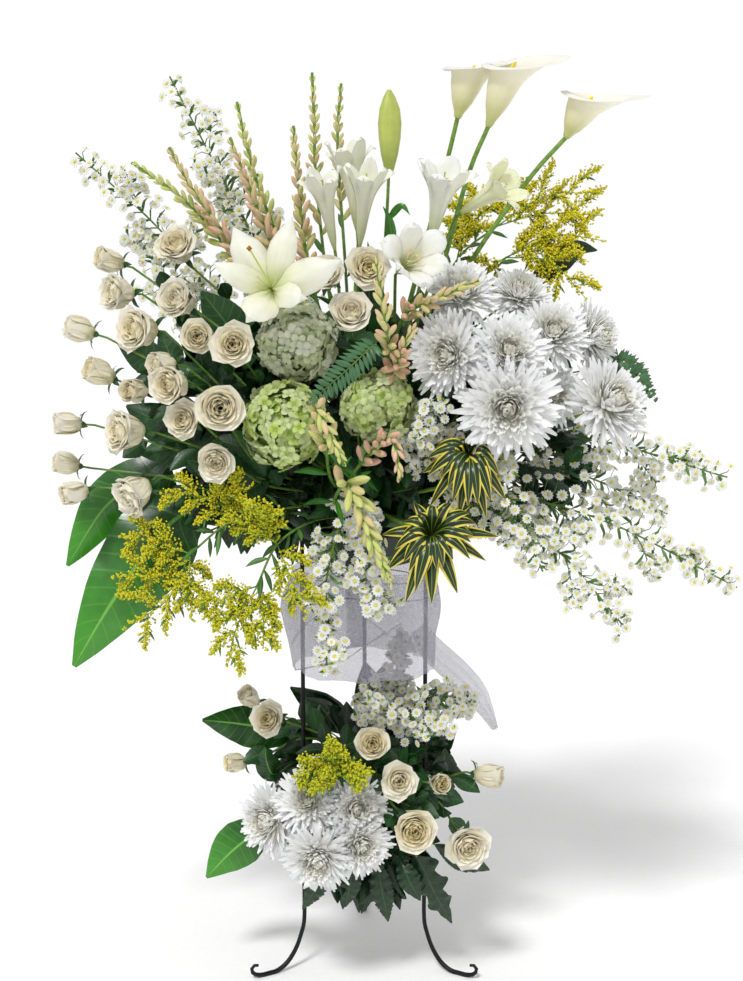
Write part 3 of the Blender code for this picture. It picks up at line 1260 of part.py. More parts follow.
def foliage(striped, dark, leaf, fern):
    """Striped rosettes, large leaves, ferns and the dark greens that fill the back and the lower tier."""
    base, root, normal = peg("upper", "front", 0.030, 0.800)
    centre = (0.156, -0.215, 0.882)
    solids = [base, stem_from(root, normal, [(0.085, -0.120, 0.808), (0.145, -0.185, 0.838), centre],
                              0.0032, 3, steps=1)]
    tips = ((0.088, -0.215, 0.852), (0.098, -0.240, 0.806), (0.140, -0.255, 0.792), (0.180, -0.255, 0.792),
            (0.210, -0.235, 0.815), (0.208, -0.205, 0.868), (0.090, -0.190, 0.885))
    fuse("striped_leaves_upper", solids + rosette(centre, (0.0, -0.8, 0.5), tips, 0.016, 0.017), striped,
         KEEP_LEAVES)

    base, root, normal = peg("upper", "front", 0.016, 0.772)
    centre = (0.100, -0.240, 0.762)
    solids = [base, stem_from(root, normal, [(0.040, -0.130, 0.770), (0.075, -0.200, 0.765), centre],
                              0.0032, 3, steps=1)]
    tips = ((0.028, -0.250, 0.765), (0.035, -0.262, 0.715), (0.062, -0.272, 0.668), (0.100, -0.278, 0.668),
            (0.138, -0.272, 0.682), (0.180, -0.260, 0.728), (0.198, -0.250, 0.762), (0.160, -0.235, 0.808),
            (0.075, -0.235, 0.810))
    fuse("striped_leaves_lower", solids + rosette(centre, (0.0, -0.8, 0.5), tips, 0.018, 0.018), striped,
         KEEP_LEAVES)

    large_leaf("leaf_large_lower", ("upper", "left", -0.004, 0.770), (
        ([(-0.160, -0.02, 0.775)],
         [(-0.270, -0.040, 0.772), (-0.320, -0.055, 0.735), (-0.400, -0.085, 0.625),
          (-0.462, -0.090, 0.522)],
         HEART, 0.140, (0.1, -1.0, 0.3)),
    ), leaf)
    large_leaf("leaf_large_upper", ("upper", "left", 0.020, 0.778), (
        ([(-0.180, 0.02, 0.800)],
         [(-0.310, 0.015, 0.815), (-0.360, 0.010, 0.800), (-0.420, 0.005, 0.765), (-0.484, -0.005, 0.668)],
         HEART, 0.095, (0.1, -1.0, 0.2)),
    ), leaf)
    large_leaf("leaf_dark_right", ("upper", "top", 0.054, 0.052), (
        ([(0.150, 0.085, 1.02)],
         [(0.270, 0.105, 1.115), (0.315, 0.100, 1.155), (0.350, 0.095, 1.180), (0.382, 0.090, 1.176)],
         OVAL, 0.044, (0.0, -1.0, 0.3)),
    ), dark)
    base, root, normal = peg("upper", "front", -0.008, 0.828)
    solids = [base, stem_from(root, normal, [(-0.012, -0.095, 0.95), (-0.016, -0.125, 1.020),
                                             (0.006, -0.215, 1.030),
                                             (0.018, -0.256, 1.042), (0.010, -0.288, 1.044)], 0.0020, 3,
                                             steps=1)]
    solids.append(frond([(0.018, -0.270, 1.046), (0.010, -0.290, 1.042), (-0.025, -0.302, 1.010),
                         (-0.080, -0.300, 0.962)],
                        0.042, 7))
    fuse("fern_frond", solids, fern)
    base, root, normal = peg("upper", "right", 0.024, 0.827)
    solids = [base, stem_from(root, normal, [(0.200, 0.010, 0.945), (0.340, -0.010, 0.985),
                                             (0.385, -0.020, 0.985)],
                              0.0022, 3, steps=1)]
    solids.append(frond([(0.375, -0.018, 0.985), (0.400, -0.025, 0.975), (0.430, -0.035, 0.950),
                         (0.445, -0.040, 0.915)], 0.052, 5))
    solids.append(frond([(0.375, -0.018, 0.985), (0.395, -0.020, 0.998), (0.425, -0.025, 0.992),
                         (0.455, -0.030, 0.968)], 0.040, 4))
    fuse("fern_tips_right", solids, fern, KEEP_LEAVES)

    backs = []
    for tip, width in (((-0.230, 0.140, 0.985), 0.070), ((-0.130, 0.175, 1.120), 0.070),
                       ((0.010, 0.190, 1.170), 0.075),
                       ((0.140, 0.175, 1.110), 0.070), ((0.250, 0.140, 0.970), 0.070),
                       ((-0.200, 0.160, 0.740), 0.070),
                       ((0.030, 0.205, 0.690), 0.075), ((0.210, 0.165, 0.730), 0.070)):
        tip = np.array(tip)
        start = np.array([0.0, 0.080, 0.83])
        rows = [start + (tip - start) * s + np.array([0.0, 0.030 * math.sin(math.pi * s),
                    0.0]) for s in (0.25, 0.5, 0.78)]
        backs.append(([], [rows[0], rows[1], rows[2], tip], [width, 0.85 * width], (0.0, 1.0, 0.1), 0.0018,
                      0.2))
    leaf_bunch("greens_back", ("upper", "back", 0.0, 0.830), backs, dark)


def lower_tier(rose_finish, dark, leaf):
    """Roses, large leaves and dark greens of the small lower tier."""
    rose_bunch("roses_lower_left", ("lower", "top", -0.040, -0.030), (
        ([(-0.085, -0.030, 0.405)], (-0.186, -0.020, 0.448), 0.048, (-0.5, -0.5, 0.7), False, None),
        ([(-0.080, -0.045, 0.400)], (-0.150, -0.080, 0.432), 0.054, (-0.3, -0.9, 0.3), True, None),
        ([(-0.105, -0.035, 0.385)], (-0.208, -0.030, 0.342), 0.046, (-0.8, -0.5, 0.1), False, None),
    ), rose_finish)
    rose_bunch("roses_lower_front", ("lower", "front", 0.020, 0.325), (
        ([(0.016, -0.095, 0.375)], (0.014, -0.145, 0.410), 0.058, (0.0, -0.9, 0.4), True, None),
        ([(0.036, -0.11, 0.345)], (0.053, -0.175, 0.364), 0.056, (0.1, -0.9, 0.2), True, None),
        ([(0.080, -0.10, 0.335)], (0.118, -0.155, 0.350), 0.050, (0.2, -0.9, 0.3), False, None),
        ([(0.044, -0.12, 0.305)], (0.076, -0.205, 0.297), 0.072, (0.1, -1.0, 0.1), True,
         (0.50, (0.118, -0.170, 0.300))),
    ), rose_finish)
    rose_bunch("roses_lower_right", ("lower", "right", -0.016, 0.300), (
        ([(0.125, -0.030, 0.315)], (0.199, -0.060, 0.332), 0.058, (0.9, -0.3, 0.0), False, None),
        ([(0.120, -0.050, 0.285)], (0.161, -0.140, 0.247), 0.068, (0.2, -0.9, 0.0), True, None),
    ), rose_finish)
    large_leaf("leaf_lower_upper", ("lower", "left", 0.020, 0.340), (
        ([], [(-0.105, 0.010, 0.365), (-0.150, 0.000, 0.388), (-0.200, -0.010, 0.402),
              (-0.266, -0.025, 0.414)],
         OVAL, 0.072, (0.0, -1.0, 0.5)),
        ([(-0.110, 0.010, 0.335)],
         [(-0.140, -0.010, 0.318), (-0.152, -0.025, 0.322), (-0.160, -0.035, 0.345),
          (-0.162, -0.040, 0.372)],
         OVAL, 0.042, (0.0, -1.0, 0.2)),
    ), leaf)
    large_leaf("leaf_lower_low", ("lower", "left", -0.035, 0.280), (
        ([(-0.115, -0.05, 0.275)],
         [(-0.150, -0.075, 0.262), (-0.185, -0.080, 0.235), (-0.220, -0.080, 0.205),
          (-0.258, -0.075, 0.162)],
         OVAL, 0.076, (0.0, -1.0, 0.2)),
    ), leaf)
    greens = []
    for tip, width, start in (
        ((0.039, -0.125, 0.108), 0.040, (0.020, -0.124, 0.215)), ((0.143, -0.095, 0.092), 0.042,
                    (0.085, -0.118, 0.215)),
        ((-0.100, -0.105, 0.120), 0.036, (-0.050, -0.122, 0.215)), ((-0.030, -0.130, 0.135), 0.036,
                    (-0.015, -0.124, 0.215)),
        ((0.205, -0.075, 0.175), 0.040, (0.115, -0.105, 0.230)), ((0.090, -0.140, 0.150), 0.036,
                    (0.055, -0.124, 0.218)),
    ):
        start, tip = np.array(start), np.array(tip)
        middle = 0.55 * start + 0.45 * tip + np.array([0.0, -0.012, 0.0])
        far = 0.25 * start + 0.75 * tip + np.array([0.0, -0.012, 0.0])
        greens.append(([(0.5 * start[0] + 0.005, -0.118, 0.262)], [start, middle, far, tip],
                       [width, 0.8 * width], FRONT, 0.0018, 0.2))
    leaf_bunch("greens_lower_front", ("lower", "front", 0.010, 0.268), greens, dark)
    backs = []
    for tip, width in (((-0.130, 0.150, 0.420), 0.060), ((0.000, 0.170, 0.460), 0.060),
                       ((0.140, 0.150, 0.420), 0.060),
                       ((-0.150, 0.130, 0.230), 0.060), ((0.060, 0.185, 0.200), 0.060),
                       ((0.180, 0.120, 0.260), 0.060)):
        tip = np.array(tip)
        start = np.array([0.030, 0.075, 0.32])
        rows = [start + (tip - start) * s + np.array([0.0, 0.022 * math.sin(math.pi * s),
                    0.0]) for s in (0.28, 0.52, 0.78)]
        backs.append(([], [rows[0], rows[1], rows[2], tip], [width, 0.85 * width], (0.0, 1.0, 0.1), 0.0018,
                      0.2))
    leaf_bunch("greens_lower_back", ("lower", "back", 0.035, 0.320), backs, dark)


def main():
    """Build the stand, the foam tiers and every bunch, and place them all from one empty."""
    clear_scene()
    iron = material("iron", 0.45, 0.8)
    bowl_finish = material("bowl", 0.4)
    foam_finish = material("foam", 0.9)
    rose_finish = material("rose", 0.55)
    dark, leaf = material("dark_leaf", 0.4), material("leaf", 0.4)

    for word, angle in LEG_ANGLES.items():
        leg("leg_" + word, angle, iron)
    for word, z in (("upper", RING_UPPER_Z), ("lower", RING_LOWER_Z)):
        fuse("ring_" + word, [turned_ring(RING_CIRCLE, RING_RADIUS, z)], iron)
        fuse("bowl_" + word, [turned_bowl(z)], bowl_finish)
    tail = blade([(0.092, 0.024, 0.552), (0.112, 0.030, 0.520), (0.145, 0.040, 0.486),
                  (0.180, 0.050, 0.450),
                  (0.205, 0.050, 0.410), (0.222, 0.045, 0.375)],
                 [0.044, 0.058, 0.060, 0.045], 0.0022, 0.2, (0.2, -1.0, 0.2))
    fuse("net_wrap", [net_sleeve(), tail], material("net", 0.8))

    roses_of_the_upper_tier(rose_finish)
    lilies(material("lily", 0.5), material("white", 0.5), material("bud", 0.5), material("calla", 0.45))
    tuberoses(material("tuberose", 0.6))
    hydrangeas(material("lime", 0.7))
    chrysanthemums(bpy.data.materials["white"])
    daisies(material("aster", 0.6))
    goldenrods(material("yellow", 0.8))
    foliage(material("striped", 0.45), dark, leaf, material("fern", 0.6))
    lower_tier(rose_finish, dark, leaf)

    for tier, ring_z in (("upper", RING_UPPER_Z), ("lower", RING_LOWER_Z)):
        bottom = ring_z + FLANGE_LIFT - BOWL_DEPTH + SEAT
        foam_block("foam_" + tier, tier, foam_finish, bottom)

    carrier = bpy.data.objects.new("spray", None)
    carrier.location = AXIS_PLACE
    bpy.context.scene.collection.objects.link(carrier)
    for thing in bpy.data.objects:
        if thing.type == "MESH":
            thing.parent = carrier


main()
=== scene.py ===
"""Looks of the standing funeral spray: fresh flowers, leaves and net on an iron tripod stand.

Every piece is a surface worked out with numpy. Metres, in the frame of the CAD model. The tables of
flowers are measured from the stand's upright axis, which PLACE puts in the part.
"""
import math

import bpy
import numpy as np
from mathutils import Matrix


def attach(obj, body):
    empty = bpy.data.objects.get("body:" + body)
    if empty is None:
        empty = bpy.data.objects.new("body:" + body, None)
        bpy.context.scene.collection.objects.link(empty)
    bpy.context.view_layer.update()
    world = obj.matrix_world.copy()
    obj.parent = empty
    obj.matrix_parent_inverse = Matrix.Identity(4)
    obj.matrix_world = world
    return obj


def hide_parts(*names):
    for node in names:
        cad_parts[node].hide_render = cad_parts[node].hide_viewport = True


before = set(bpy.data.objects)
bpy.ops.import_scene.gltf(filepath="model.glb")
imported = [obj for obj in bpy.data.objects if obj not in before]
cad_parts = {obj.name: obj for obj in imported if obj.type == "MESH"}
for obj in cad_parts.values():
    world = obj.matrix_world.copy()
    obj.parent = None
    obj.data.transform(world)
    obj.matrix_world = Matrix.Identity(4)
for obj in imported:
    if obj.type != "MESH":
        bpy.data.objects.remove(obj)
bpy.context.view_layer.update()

PLACE = np.array([-0.054, 0.048, 0.0])
GOLDEN_ANGLE = math.pi * (3.0 - math.sqrt(5.0))


# Shapes: points, four-sided and three-sided faces, and a UV place for every point.

def unit(a):
    """Each vector of the array at length one."""
    a = np.asarray(a, float)
    return a / np.maximum(np.linalg.norm(a, axis=-1, keepdims=True), 1e-12)


def shape(points, quads, triangles=None, uv=None):
    """A shape from whole arrays; a missing UV is set to zero."""
    points = np.asarray(points, float).reshape(-1, 3)
    quads = np.zeros((0, 4), int) if quads is None else np.asarray(quads, int).reshape(-1, 4)
    triangles = np.zeros((0, 3), int) if triangles is None else np.asarray(triangles, int).reshape(-1, 3)
    uv = np.zeros((len(points), 2)) if uv is None else np.asarray(uv, float).reshape(-1, 2)
    return {"points": points, "quads": quads, "triangles": triangles, "uv": uv}


def joined(shapes):
    """Several shapes as one: the face numbers of each move up by the points before it."""
    start = np.cumsum([0] + [len(s["points"]) for s in shapes])
    return shape(
        np.concatenate([s["points"] for s in shapes]),
        np.concatenate([s["quads"] + a for s, a in zip(shapes, start)]),
        np.concatenate([s["triangles"] + a for s, a in zip(shapes, start)]),
        np.concatenate([s["uv"] for s in shapes]),
    )


def moved(one, basis=None, size=1.0, place=(0.0, 0.0, 0.0)):
    """The shape scaled by size, turned so that its x, y, z lie along the rows of basis, and put at place."""
    points = one["points"] * np.asarray(size, float)
    if basis is not None:
        points = points @ np.asarray(basis, float)
    return {**one, "points": points + np.asarray(place, float)}


def spread(one, places, bases, sizes):
    """Copies of a shape, one for each place, basis and size, worked out as whole arrays."""
    places = np.asarray(places, float)
    count, size = len(places), len(one["points"])
    sizes = np.broadcast_to(np.asarray(sizes, float).reshape(count, -1), (count, 3))
    points = np.einsum("kpi,kij->kpj", one["points"][None] * sizes[:, None], np.asarray(bases, float))
    step = (np.arange(count) * size)[:, None, None]
    return shape(
        points + places[:, None],
        one["quads"][None] + step,
        one["triangles"][None] + step,
        np.broadcast_to(one["uv"], (count, size, 2)),
    )


def bases_for(axes, spins):
    """For each axis an orthonormal basis (side, other, axis), turned about the axis by its spin."""
    axes = unit(axes)
    helper = np.where(np.abs(axes[:, 2:3]) < 0.9, [[0.0, 0.0, 1.0]], [[0.0, 1.0, 0.0]])
    side = unit(np.cross(helper, axes))
    other = np.cross(axes, side)
    c, s = np.cos(spins)[:, None], np.sin(spins)[:, None]
    return np.stack([c * side + s * other, c * other - s * side, axes], axis=1)


def basis_for(axis, spin=0.0):
    """The same for one axis."""
    return bases_for(np.asarray([axis], float), np.array([spin]))[0]


def grid_quads(rows, columns, wrap=False):
    """Faces of a grid of points; wrap joins the last column to the first."""
    r = np.arange(rows - 1)[:, None]
    c = np.arange(columns if wrap else columns - 1)[None, :]
    n = (c + 1) % columns
    return np.stack([r * columns + c, r * columns + n, (r + 1) * columns + n, (r + 1) * columns + c], axis=-1)


def normals(grid):
    """Unit normals of a grid, from the cross product of its differences along and across."""
    along = np.gradient(grid, axis=0)
    across = np.gradient(grid, axis=1)
    return unit(np.cross(across, along))


def thin_sheet(grid, thick):
    """A closed thin shape: the grid is its face, and its back is the same grid less its normals times
    thick. Face and back share the points of the rim."""
    rows, columns = grid.shape[:2]
    front = np.arange(rows * columns).reshape(rows, columns)
    back = front.copy()
    back[1:-1, 1:-1] = rows * columns + np.arange((rows - 2) * (columns - 2)).reshape(rows - 2, columns - 2)
    behind = (grid - normals(grid) * thick)[1:-1, 1:-1]
    table = grid_quads(rows, columns).reshape(-1, 4)
    w, s = np.meshgrid(np.linspace(-1, 1, columns), np.linspace(0, 1, rows))
    uv = np.stack([w * 0.5 + 0.5, s], axis=-1)
    return shape(
        np.concatenate([grid.reshape(-1, 3), behind.reshape(-1, 3)]),
        np.concatenate([front.reshape(-1)[table], back.reshape(-1)[table][:, ::-1]]),
        None,
        np.concatenate([uv.reshape(-1, 2), uv[1:-1, 1:-1].reshape(-1, 2)]),
    )


def smooth_path(points, count):
    """A curve through the points (Catmull-Rom), read at evenly spaced lengths."""
    p = np.asarray(points, float)
    if len(p) == 2:
        fine = p
    else:
        p = np.concatenate([[2 * p[0] - p[1]], p, [2 * p[-1] - p[-2]]])
        a, b, c, d = (p[i : len(p) - 3 + i, None] for i in range(4))
        t = np.linspace(0, 1, 12, endpoint=False)[None, :, None]
        fine = (2 * b + (c - a) * t + (2 * a - 5 * b + 4 * c - d) * t**2 + (3 * b - a - 3 * c + d) * t**3) / 2
        fine = np.concatenate([fine.reshape(-1, 3), p[-2:-1]])
    length = np.concatenate([[0.0], np.cumsum(np.linalg.norm(np.diff(fine, axis=0), axis=1))])
    at = np.linspace(0, length[-1], count)
    return np.stack([np.interp(at, length, fine[:, k]) for k in range(3)], axis=1)


def path_sides(path, start=None):
    """Directions along a path and two directions square to it, carried on from point to point."""
    along = unit(np.gradient(path, axis=0))
    side = basis_for(along[0])[0] if start is None else np.asarray(start, float)
    sides = []
    for step in along:
        side = unit(side - step * np.dot(side, step))
        sides.append(side)
    sides = np.array(sides)
    return along, sides, np.cross(along, sides)


def swept(path, radii, sides=7):
    """A round bar along a path: circles of the given radii square to it, closed by a point at each end."""
    path = np.asarray(path, float)
    radii = np.broadcast_to(np.asarray(radii, float), (len(path),))
    _, first, second = path_sides(path)
    angle = np.linspace(0, math.tau, sides, endpoint=False)
    ring = first[:, None] * np.cos(angle)[None, :, None] + second[:, None] * np.sin(angle)[None, :, None]
    points = path[:, None] + radii[:, None, None] * ring
    rows = len(path)
    loop = np.arange(sides)
    after = (loop + 1) % sides
    first_tip, last_tip = rows * sides, rows * sides + 1
    caps = np.concatenate([
        np.stack([after, loop, np.full(sides, first_tip)], 1),
        np.stack([loop + (rows - 1) * sides, after + (rows - 1) * sides, np.full(sides, last_tip)], 1),
    ])
    u, v = np.meshgrid(np.linspace(0, 1, sides), np.linspace(0, 1, rows))
    uv = np.concatenate([np.stack([u, v], -1).reshape(-1, 2), [[0.5, 0.0], [0.5, 1.0]]])
    return shape(np.concatenate([points.reshape(-1, 3), path[:1], path[-1:]]),
                 grid_quads(rows, sides, True), caps, uv)


def turned(profile, sides, wave=None):
    """A profile of (radius, height) rows turned round z; wave scales the radius by row and angle.
    Rows at radius zero close to a point."""
    profile = np.asarray(profile, float)
    angle = np.linspace(0, math.tau, sides, endpoint=False)
    radius = profile[:, :1] * (np.ones((1, sides)) if wave is None else wave(angle[None, :], profile))
    grid = np.stack([radius * np.cos(angle), radius * np.sin(angle),
                     np.broadcast_to(profile[:, 1:], radius.shape)], axis=-1)
    rows = len(profile)
    loop = np.arange(sides)
    after = (loop + 1) % sides
    caps = np.concatenate([
        np.stack([after, loop, np.full(sides, rows * sides)], 1),
        np.stack([loop + (rows - 1) * sides, after + (rows - 1) * sides, np.full(sides, rows * sides + 1)], 1),
    ])
    ends = np.array([[0, 0, profile[0, 1]], [0, 0, profile[-1, 1]]])
    u, v = np.meshgrid(np.linspace(0, 1, sides), np.linspace(0, 1, rows))
    uv = np.concatenate([np.stack([u, v], -1).reshape(-1, 2), [[0.5, 0.0], [0.5, 1.0]]])
    return shape(np.concatenate([grid.reshape(-1, 3), ends]), grid_quads(rows, sides, True), caps, uv)


def outline_at(table, s):
    """A half-width read from a table of even steps along a petal or leaf, rounded with a cosine blend."""
    table = np.asarray(table, float)
    at = np.clip(s, 0, 1) * (len(table) - 1)
    low = np.minimum(at.astype(int), len(table) - 2)
    t = at - low
    return table[low] + (table[low + 1] - table[low]) * t


def petal(rows, columns, length, width, outline, lift, wrap, ruffle=0.0, waves=3.0, phase=0.0, thick=0.01,
          groove=0.0):
    """A petal that starts at the origin and grows outwards along +x, with +z up.

    Its rib is the sum of steps whose slope runs through the three angles of lift, from root to tip. Each
    cross-section is an arc that turns up by wrap radians at the petal's edges (root and tip values). The
    rim waves as sin(waves * tau * s + phase) times ruffle, most at the edges, and groove presses the rib.
    """
    s = np.linspace(0, 1, rows)
    bow = np.array([lift[0], lift[1], lift[2]])
    slope = bow[0] * (1 - s) * (1 - 2 * s) + 4 * bow[1] * s * (1 - s) + bow[2] * s * (2 * s - 1)
    step = length / (rows - 1)
    rib = np.zeros((rows, 3))
    rib[1:, 0] = np.cumsum(np.cos(0.5 * (slope[1:] + slope[:-1]))) * step
    rib[1:, 2] = np.cumsum(np.sin(0.5 * (slope[1:] + slope[:-1]))) * step
    up = np.stack([-np.sin(slope), np.zeros(rows), np.cos(slope)], axis=1)
    half = 0.5 * width * outline_at(outline, s)
    w = np.linspace(-1, 1, columns)
    turn = (wrap[0] + (wrap[1] - wrap[0]) * s)[:, None]
    turn = np.where(np.abs(turn) < 1e-3, 1e-3, turn)
    across = half[:, None] * np.sin(turn * w) / turn
    rise = half[:, None] * (1 - np.cos(turn * w)) / turn
    rise += ruffle * length * (s[:, None] ** 1.5) * np.abs(w) ** 1.7 * np.sin(
        waves * math.tau * s[:, None] + phase + 1.3 * np.sign(w))
    rise -= groove * half[:, None] * np.exp(-((w / 0.16) ** 2))
    grid = rib[:, None] + up[:, None] * rise[..., None]
    grid[..., 1] += across
    return thin_sheet(grid, thick * length)


def around(one, count, spin=0.0, radius=0.0, height=0.0):
    """Copies of a petal evenly round the z axis, each pushed out by radius."""
    angle = spin + np.arange(count) * math.tau / count
    c, s, o = np.cos(angle), np.sin(angle), np.zeros(count)
    bases = np.stack([np.stack([c, s, o], 1), np.stack([-s, c, o], 1), np.stack([o, o, o + 1], 1)], axis=1)
    places = np.stack([radius * c, radius * s, o + height], 1)
    return spread(one, places, bases, np.ones((count, 1)))


# Meshes.

class Heap:
    """Shapes gathered for one piece, each with a finish and a tone between 0 and 1."""

    def __init__(self):
        self.shapes = []
        self.finishes = []
        self.tones = []
        self.order = []

    def add(self, one, finish, tone=0.5):
        """Add a shape. The tone is one number, or one for each of the shape's points."""
        if finish not in self.order:
            self.order.append(finish)
        self.shapes.append(one)
        self.finishes.append(self.order.index(finish))
        self.tones.append(np.broadcast_to(np.asarray(tone, float), (len(one["points"]),)))

    def piece(self, name, nodes=(), crease=50.0):
        """Write the gathered arrays into one mesh, which rides on the stand and replaces CAD nodes."""
        whole = joined(self.shapes)
        quads, triangles = whole["quads"], whole["triangles"]
        mesh = bpy.data.meshes.new(name)
        mesh.vertices.add(len(whole["points"]))
        mesh.vertices.foreach_set("co", (whole["points"] + PLACE).astype(np.float32).ravel())
        corners = np.concatenate([quads.ravel(), triangles.ravel()]).astype(np.int32)
        mesh.loops.add(len(corners))
        mesh.loops.foreach_set("vertex_index", corners)
        mesh.polygons.add(len(quads) + len(triangles))
        starts = np.concatenate([np.arange(len(quads)) * 4, 4 * len(quads) + np.arange(len(triangles)) * 3])
        mesh.polygons.foreach_set("loop_start", starts.astype(np.int32))
        numbers = np.concatenate([
            np.repeat(self.finishes, [len(s["quads"]) for s in self.shapes]),
            np.repeat(self.finishes, [len(s["triangles"]) for s in self.shapes]),
        ])
        mesh.polygons.foreach_set("material_index", numbers.astype(np.int32))
        for finish in self.order:
            mesh.materials.append(finish)
        layer = mesh.uv_layers.new(name="UVMap")
        layer.data.foreach_set("uv", whole["uv"][corners].astype(np.float32).ravel())
        tone = mesh.attributes.new("tone", "FLOAT", "POINT")
        tone.data.foreach_set("value", np.concatenate(self.tones).astype(np.float32))
        mesh.update(calc_edges=True)
        mesh.validate()
        mesh.shade_smooth()
        mesh.set_sharp_from_angle(angle=math.radians(crease))
        made = bpy.data.objects.new(name, mesh)
        bpy.context.scene.collection.objects.link(made)
        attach(made, "root")
        if nodes:
            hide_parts(*nodes)
        return made


# Finishes.

def linear(code):
    """An sRGB hex colour as linear red, green, blue and one."""
    value = np.array([int(code[i : i + 2], 16) for i in (1, 3, 5)]) / 255.0
    curve = np.where(value <= 0.04045, value / 12.92, ((value + 0.055) / 1.055) ** 2.4)
    return (*curve.tolist(), 1.0)


def add(tree, kind, settings=(), links=()):
    """Add one node: settings go to its properties, its ramp's stops or its sockets, links to its sockets."""
    made = tree.nodes.new(kind)
    for key, value in dict(settings).items():
        if key == "stops":
            ramp = made.color_ramp
            while len(ramp.elements) < len(value):
                ramp.elements.new(0.5)
            for element, (place, colour) in zip(ramp.elements, value):
                element.position = place
                element.color = linear(colour)
        elif isinstance(key, str) and hasattr(made, key):
            setattr(made, key, value)
        else:
            made.inputs[key].default_value = value
    for key, source in dict(links).items():
        tree.links.new(source, made.inputs[key])
    return made


def new_finish(name, sockets):
    """A material with its shader's constant sockets set; gives the material, its tree and its shader."""
    material = bpy.data.materials.new(name)
    material.use_nodes = True
    tree = material.node_tree
    shader = tree.nodes["Principled BSDF"]
    for key, value in sockets.items():
        shader.inputs[key].default_value = value
    return material, tree, shader


def petal_finish(name, root, middle, rim, tinted, rough=0.5, veins=46.0, vein_depth=0.00018, speckle=0.10,
                 sheen=0.15):
    """A petal: its colour runs from root to rim along the petal, and the tone shifts it to another tint.

    Long fine veins are a noise drawn out along the petal, which lies in the bump and a little in the colour.
    """
    material, tree, shader = new_finish(name, {
        "Roughness": rough, "Sheen Weight": sheen, "Sheen Roughness": 0.4, "IOR": 1.42,
        "Subsurface Weight": 0.45, "Subsurface Radius": (0.005, 0.005, 0.0035), "Subsurface Scale": 1.0,
    })
    uv = add(tree, "ShaderNodeUVMap", {"uv_map": "UVMap"})
    split = add(tree, "ShaderNodeSeparateXYZ", (), {0: uv.outputs[0]})
    tone = add(tree, "ShaderNodeAttribute", {"attribute_name": "tone"})
    along = add(tree, "ShaderNodeValToRGB", {"stops": ((0.0, root), (0.42, middle), (0.95, rim))},
                {0: split.outputs[1]})
    tint = add(tree, "ShaderNodeMix", {"data_type": "RGBA", 7: linear(tinted)},
               {0: tone.outputs["Fac"], 6: along.outputs[0]})
    stretch = add(tree, "ShaderNodeVectorMath", {"operation": "MULTIPLY", 1: (veins, 3.0, 1.0)}, {0: uv.outputs[0]})
    vein = add(tree, "ShaderNodeTexNoise", {"Scale": 1.0, "Detail": 2.0}, {"Vector": stretch.outputs[0]})
    place = add(tree, "ShaderNodeTexCoord")
    cloud = add(tree, "ShaderNodeTexNoise", {"Scale": 90.0, "Detail": 3.0}, {"Vector": place.outputs["Object"]})
    both = add(tree, "ShaderNodeMath", {"operation": "ADD"}, {0: vein.outputs["Fac"], 1: cloud.outputs["Fac"]})
    shade = add(tree, "ShaderNodeMapRange", {1: 0.6, 2: 1.4, 3: 1.0 - speckle, 4: 1.0}, {0: both.outputs[0]})
    mixed = add(tree, "ShaderNodeMix", {"data_type": "RGBA", "blend_type": "MULTIPLY", 0: 1.0},
                {6: tint.outputs[2], 7: shade.outputs[0]})
    bump = add(tree, "ShaderNodeBump", {"Strength": 0.6, "Distance": vein_depth}, {"Height": vein.outputs["Fac"]})
    tree.links.new(mixed.outputs[2], shader.inputs["Base Color"])
    tree.links.new(bump.outputs[0], shader.inputs["Normal"])
    return material


